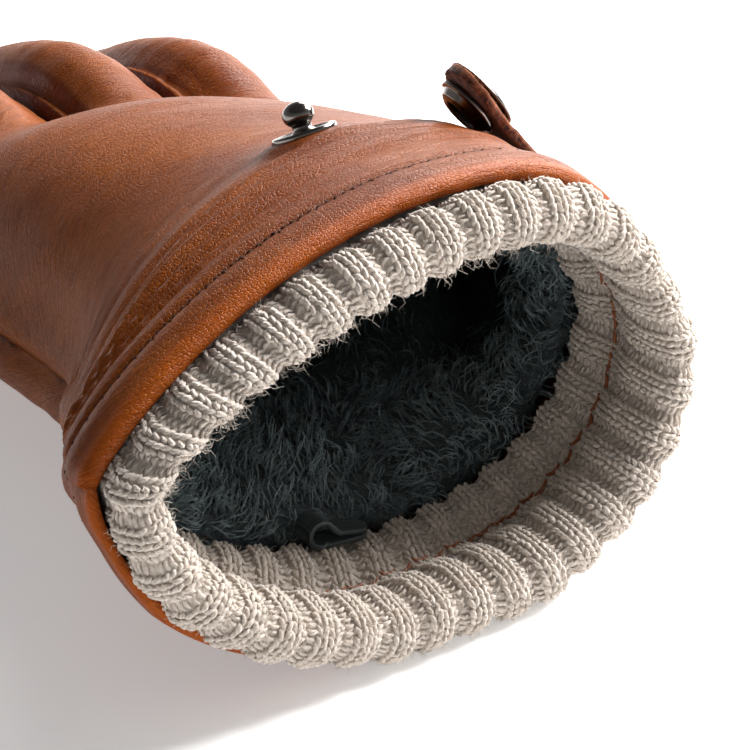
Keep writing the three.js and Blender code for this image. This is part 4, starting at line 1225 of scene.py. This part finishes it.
# radius and height: the flange from below, its rim, the dish and the neck under the ball
STUD_ROWS = [[0.3, 0], [4.8, 0], [4.8, 0.5], [4.55, 0.78], [4.1, 0.8], [3.75, 0.5], [2.9, 0.42], [2.1, 0.5],
             [1.75, 0.7], [1.4, 1.0]]
stud_profile = np.concatenate([rounded(STUD_ROWS), ball])

# Black nickel on brass, polished by a barrel: a dark mirror. The dish round the ball is painted darker, as
# painted shade in its recess, and is matt, with grains drawn at 0.4 mm.
gunmetal, tree, shader = material("black_nickel_plated_brass", 0.2, Metallic=1.0)
place = node(tree, "ShaderNodeTexCoord").outputs["Object"]
dished = node(tree, "ShaderNodeAttribute", attribute_name="dished").outputs["Fac"]
grit = node(tree, "ShaderNodeTexNoise", {"Vector": place, "Scale": 2300.0, "Detail": 2.0})
# painted shade: the dish is darker than the rest
metal_tone = node(tree, "ShaderNodeMix", {
    0: dished, 6: linear("#6e6864"), 7: linear("#4c4947")}, data_type="RGBA")
tree.links.new(metal_tone.outputs[2], shader.inputs["Base Color"])
matt = node(tree, "ShaderNodeMapRange", {"Value": dished, 1: 0.0, 2: 1.0, 3: 0.16, 4: 0.5})
tree.links.new(matt.outputs[0], shader.inputs["Roughness"])
grains = node(tree, "ShaderNodeMath", {0: grit.outputs["Fac"], 1: dished}, operation="MULTIPLY")
grit_relief = node(tree, "ShaderNodeBump", {
    "Strength": 0.8, "Distance": 0.0002, "Height": grains.outputs[0]})
tree.links.new(grit_relief.outputs[0], shader.inputs["Normal"])


def turned_metal(name, profile, axis, origin, dish, replaced):
    """A turned piece of the fastener; its rows between the two radii of dish are matt, and painted darker as
    painted shade.
    """
    points, faces = lathe(profile)
    piece = mesh_object(name, turned_to(points, axis, origin), faces)
    radius = np.linalg.norm(points[:, :2], axis=1)
    painted(piece, "dished", (radius > dish[0]) & (radius < dish[1]))
    dressed(piece, gunmetal, "gunmetal", replaced)


turned_metal("snap_ball_stud", stud_profile, stud_up, stud_at, (2.35, 4.0), "snap_stud")


# Wrist strap. A rounded tab of the same deerskin, sewn into the thumb-side seam and curling up, so its
# rough flesh side shows with the socket on it.
STRAP_Y, STRAP_THICK, STRAP_HALF, STRAP_NARROWS, STRAP_TIP = 34.0, 1.6, 7.5, 0.8, 7.0
# angle round the hand in degrees, and height above it
STRAP_LINE = np.array([[8, 2], [20, 2], [32, 2], [43, 2], [52, 1.9], [58.8, 2.3], [63.2, 3.4], [67, 4.8],
                       [70.2, 6.4], [72.8, 8.0]])
angle, lift = np.radians(STRAP_LINE[:, 0]), STRAP_LINE[:, 1]
left_line, middle_line, right_line = [
    curve_through(hand_point(STRAP_Y + side * STRAP_HALF, angle, -lift), 900) for side in (-1, 0, 1)]
strap_arc = arc_length(middle_line)
strap_length = strap_arc[-1]


def strap_frame(along):
    """Middle, across and outward direction of the strap at shares of its length."""
    left, middle, right, run = [on_line(along * strap_length, strap_arc, line) for line in (
        left_line, middle_line, right_line, np.gradient(middle_line, axis=0))]
    across = unit(right - left)
    return middle, across, unit(np.cross(across, run))


tip_share = STRAP_TIP / strap_length
strap_along = np.concatenate([np.linspace(0, 1 - tip_share, 90)[:-1],
                              1 - tip_share * (1 - np.sin(np.radians(np.linspace(0, 87, 34))))])
middle, across, outward = strap_frame(strap_along)
past = np.clip((strap_along - 1) / tip_share + 1, 0, 1)
half = (STRAP_HALF - STRAP_NARROWS * strap_along) * np.sqrt(1 - past**2)
# round the strap's section: share across and share of the thickness
STRAP_SIDES = 48
turn = full_turn(STRAP_SIDES)
share, rise = squared_off(np.cos(turn), 0.55), 0.5 * squared_off(np.sin(turn), 0.22)
strap_rings = (middle[:, None] + across[:, None] * (half[:, None] * share)[..., None]
               + outward[:, None] * (STRAP_THICK * rise)[None, :, None])
# the cut edges are ragged and the faces uneven
flat = strap_rings.reshape(-1, 3)
share_at, rise_at = np.tile(share, len(strap_along)), np.tile(rise, len(strap_along))
ragged = np.abs(share_at) ** 6
nap = 0.10 * lattice_noise(flat, 0.9, 71) + 0.12 * lattice_noise(flat, 2.4, 72)
push = (share_at * ragged * (0.3 * lattice_noise(flat, 1.6, 73)))[:, None]
flat = (flat + np.repeat(across, STRAP_SIDES, 0) * push
        + np.repeat(outward, STRAP_SIDES, 0) * nap[:, None] * 0.8)
strap_points, strap_faces = capped_tube(flat.reshape(strap_rings.shape))
# above this share of the thickness the strap is skin, below it flesh; the two end points come last
GRAIN_FROM = 0.44
flesh = np.concatenate([np.clip((GRAIN_FROM - rise_at) * 8, 0, 1), [1.0, 1.0]])
rawness = np.concatenate([ragged * bump(rise_at, 0.36, 0.12), [0.0, 0.0]])

# Suede flesh side of the deerskin: a felted nap that takes the light unevenly, without gloss, and is
# paler where the cut edge frays. The nap is drawn at 1 mm, coarser than the real one.
suede, tree, shader = material("deerskin_suede_flesh_side", 0.95, Sheen_Weight=0.25, Sheen_Roughness=0.5,
                               Specular_IOR_Level=0.15)
place = node(tree, "ShaderNodeTexCoord").outputs["Object"]
napped = node(tree, "ShaderNodeTexNoise", {
    "Vector": place, "Scale": 1000.0, "Detail": 4.0, "Roughness": 0.75, "Distortion": 0.6})
raw_edge = node(tree, "ShaderNodeAttribute", attribute_name="raw").outputs["Fac"]
suede_tone = node(tree, "ShaderNodeValToRGB", {"Fac": napped.outputs["Fac"]})
suede_tone.color_ramp.elements[0].position, suede_tone.color_ramp.elements[1].position = 0.38, 0.66
suede_tone.color_ramp.elements[0].color = linear("#30140c")
suede_tone.color_ramp.elements[1].color = linear("#94502f")
pale = node(tree, "ShaderNodeMath", {0: raw_edge, 1: 0.7}, operation="MULTIPLY")
edge_tone = node(tree, "ShaderNodeMix", {
    0: pale.outputs[0], 6: suede_tone.outputs[0], 7: linear("#b0653c")}, data_type="RGBA")
tree.links.new(edge_tone.outputs[2], shader.inputs["Base Color"])
nap_relief = node(tree, "ShaderNodeBump", {
    "Strength": 1.0, "Distance": 0.0007, "Height": napped.outputs["Fac"]})
tree.links.new(nap_relief.outputs[0], shader.inputs["Normal"])
strap = mesh_object("wrist_strap_suede", strap_points, strap_faces)
painted(strap, "raw", rawness)
dressed(strap, suede, "suede", "wrist_strap")
# the grain side wears the glove's own skin
strap.data.materials.append(deerskin)
strap_grain = np.zeros((len(flesh), 3))
strap_grain[:-2, 0] = np.repeat(strap_along * strap_length, STRAP_SIDES)
strap_grain[:-2, 1] = (half[:, None] * share).ravel()
painted(strap, "grain", strap_grain)
on_grain_side = np.concatenate([rise_at > GRAIN_FROM, [False, False]])
outer_faces = [int(on_grain_side[list(face.vertices)].all()) for face in strap.data.polygons]
strap.data.polygons.foreach_set("material_index", outer_faces)

# Nap fibres: short hairs of the hide on the strap's flesh side and edges, and longer frayed ones under
# the hem's cut edge on the thumb side.
NAP_HAIRS, HEM_HAIRS = 900, 300
rng = np.random.default_rng(14)
hairy = (flesh * (0.25 + rawness))[:-2]
picked = rng.choice(len(hairy), NAP_HAIRS, p=hairy / hairy.sum())
strap_normal = normals_of(strap_points, triangles(strap_faces))
way = unit(strap_normal[picked] + rng.normal(0, 0.6, (NAP_HAIRS, 3)))
length = rng.uniform(0.35, 0.8, NAP_HAIRS)
hairs = strands(strap_points[picked], way, length, radius=0.04, curl=0.25, places=3, seed=15)
dressed(mesh_object("strap_nap", *hairs), suede, "suede")
root = hand_point(RIM_Y + 0.1, np.radians(rng.uniform(55, 102, HEM_HAIRS)), 1.3)
way = unit(out_of_mouth * 0.8 + rng.normal(0, 0.7, (HEM_HAIRS, 3)) + [0, 0, -0.3])
length = rng.uniform(0.9, 2.2, HEM_HAIRS)
hairs = strands(root, way, length, radius=0.05, curl=0.35, places=5, seed=16)
dressed(mesh_object("hem_fray", *hairs), suede, "suede")


# Socket and cap. The socket's ring lies on the strap's flesh side and the plain cap on its skin side,
# riveted through the leather near the free end.
SNAP_ALONG = 0.84
middle, _, outward = strap_frame(np.array([SNAP_ALONG]))
seat = STRAP_THICK / 2 + 0.3
SOCKET_ROWS = [[2.4, 0.1], [3.6, 0], [4.9, 0], [4.9, 0.6], [4.4, 0.7], [3.8, 1.7], [3.0, 2.1], [2.4, 1.7],
               [2.4, 0.1]]
turned_metal("snap_socket_ring", rounded(SOCKET_ROWS)[:-1], -outward[0], middle[0] - seat * outward[0],
             (0, 2.6), "snap_socket")
CAP_ROWS = [[0.3, 0], [5.7, 0], [6.0, 0.4], [5.2, 0.9], [3.4, 1.2], [0.3, 1.3]]
turned_metal("snap_cap_disc", rounded(CAP_ROWS, 0.3), outward[0], middle[0] + seat * outward[0],
             (0, 0), "snap_cap")


# Hanger loop. A narrow black-green grosgrain ribbon, folded into an eye and sewn in between the knit
# and the lining at the underside of the mouth.
LOOP_AT = [-1.2, 14.2, 7.8]
EYE_R, RIBBON_THICK, RIBBON_WIDE = 1.4, 0.72, 4.4
ring_r = EYE_R + RIBBON_THICK / 2 + 0.04
eye_turn = np.radians(np.linspace(-90, -335, 36))
eye = np.stack([ring_r * np.cos(eye_turn), 2.2 + ring_r * np.sin(eye_turn)], 1)
ribbon_line = np.concatenate([np.stack([np.linspace(7.6, 0.4, 26), np.linspace(0.62, 0.42, 26)], 1), eye,
                              np.stack([np.linspace(2.3, 7.6, 22), np.linspace(1.95, 1.33, 22)], 1)])
ribbon_line = np.stack([np.convolve(np.pad(ribbon_line[:, k], 2, mode="edge"), np.ones(5) / 5, "valid")
                        for k in range(2)], 1)
run = unit(np.gradient(ribbon_line, axis=0))
outer = np.stack([run[:, 1], -run[:, 0]], 1)
turn = full_turn(40)
wide, thick = squared_off(np.cos(turn), 0.5), 0.5 * squared_off(np.sin(turn), 0.3)
GROSGRAIN_MM = 0.42
ribs = 0.05 * np.cos(2 * np.pi * wide * RIBBON_WIDE / 2 / GROSGRAIN_MM) * np.sign(thick)
rounding = np.sqrt(np.clip(1 - np.clip((ribbon_line[:, 0] - 5.8) / 1.9, 0, 1) ** 2, 0.05, 1))
off = thick * RIBBON_THICK + ribs
ribbon_rings = np.stack([
    ribbon_line[:, :1] + outer[:, :1] * off,
    (RIBBON_WIDE / 2 * rounding)[:, None] * wide,
    ribbon_line[:, 1:] + outer[:, 1:] * off], -1) + LOOP_AT

# Woven rayon: dark, with a soft shine on the ribs of its weft painted as lighter stripes, which are drawn at
# 0.35 mm.
ribbon, tree, shader = material("rayon_grosgrain_ribbon", 0.42, "#1f292b", Sheen_Weight=0.1)
place = node(tree, "ShaderNodeTexCoord").outputs["Object"]
weft = node(tree, "ShaderNodeTexWave", {
    "Vector": place, "Scale": 900.0, "Distortion": 0.6}, bands_direction="X")
# painted sheen: lighter stripes on the weft's ribs
ribbon_tone = node(tree, "ShaderNodeMix", {
    0: weft.outputs["Fac"], 6: linear("#141b1d"), 7: linear("#3c484a")}, data_type="RGBA")
tree.links.new(ribbon_tone.outputs[2], shader.inputs["Base Color"])
dressed(mesh_object("hanger_ribbon", *capped_tube(ribbon_rings)), ribbon, "ribbon", "hanger_loop")
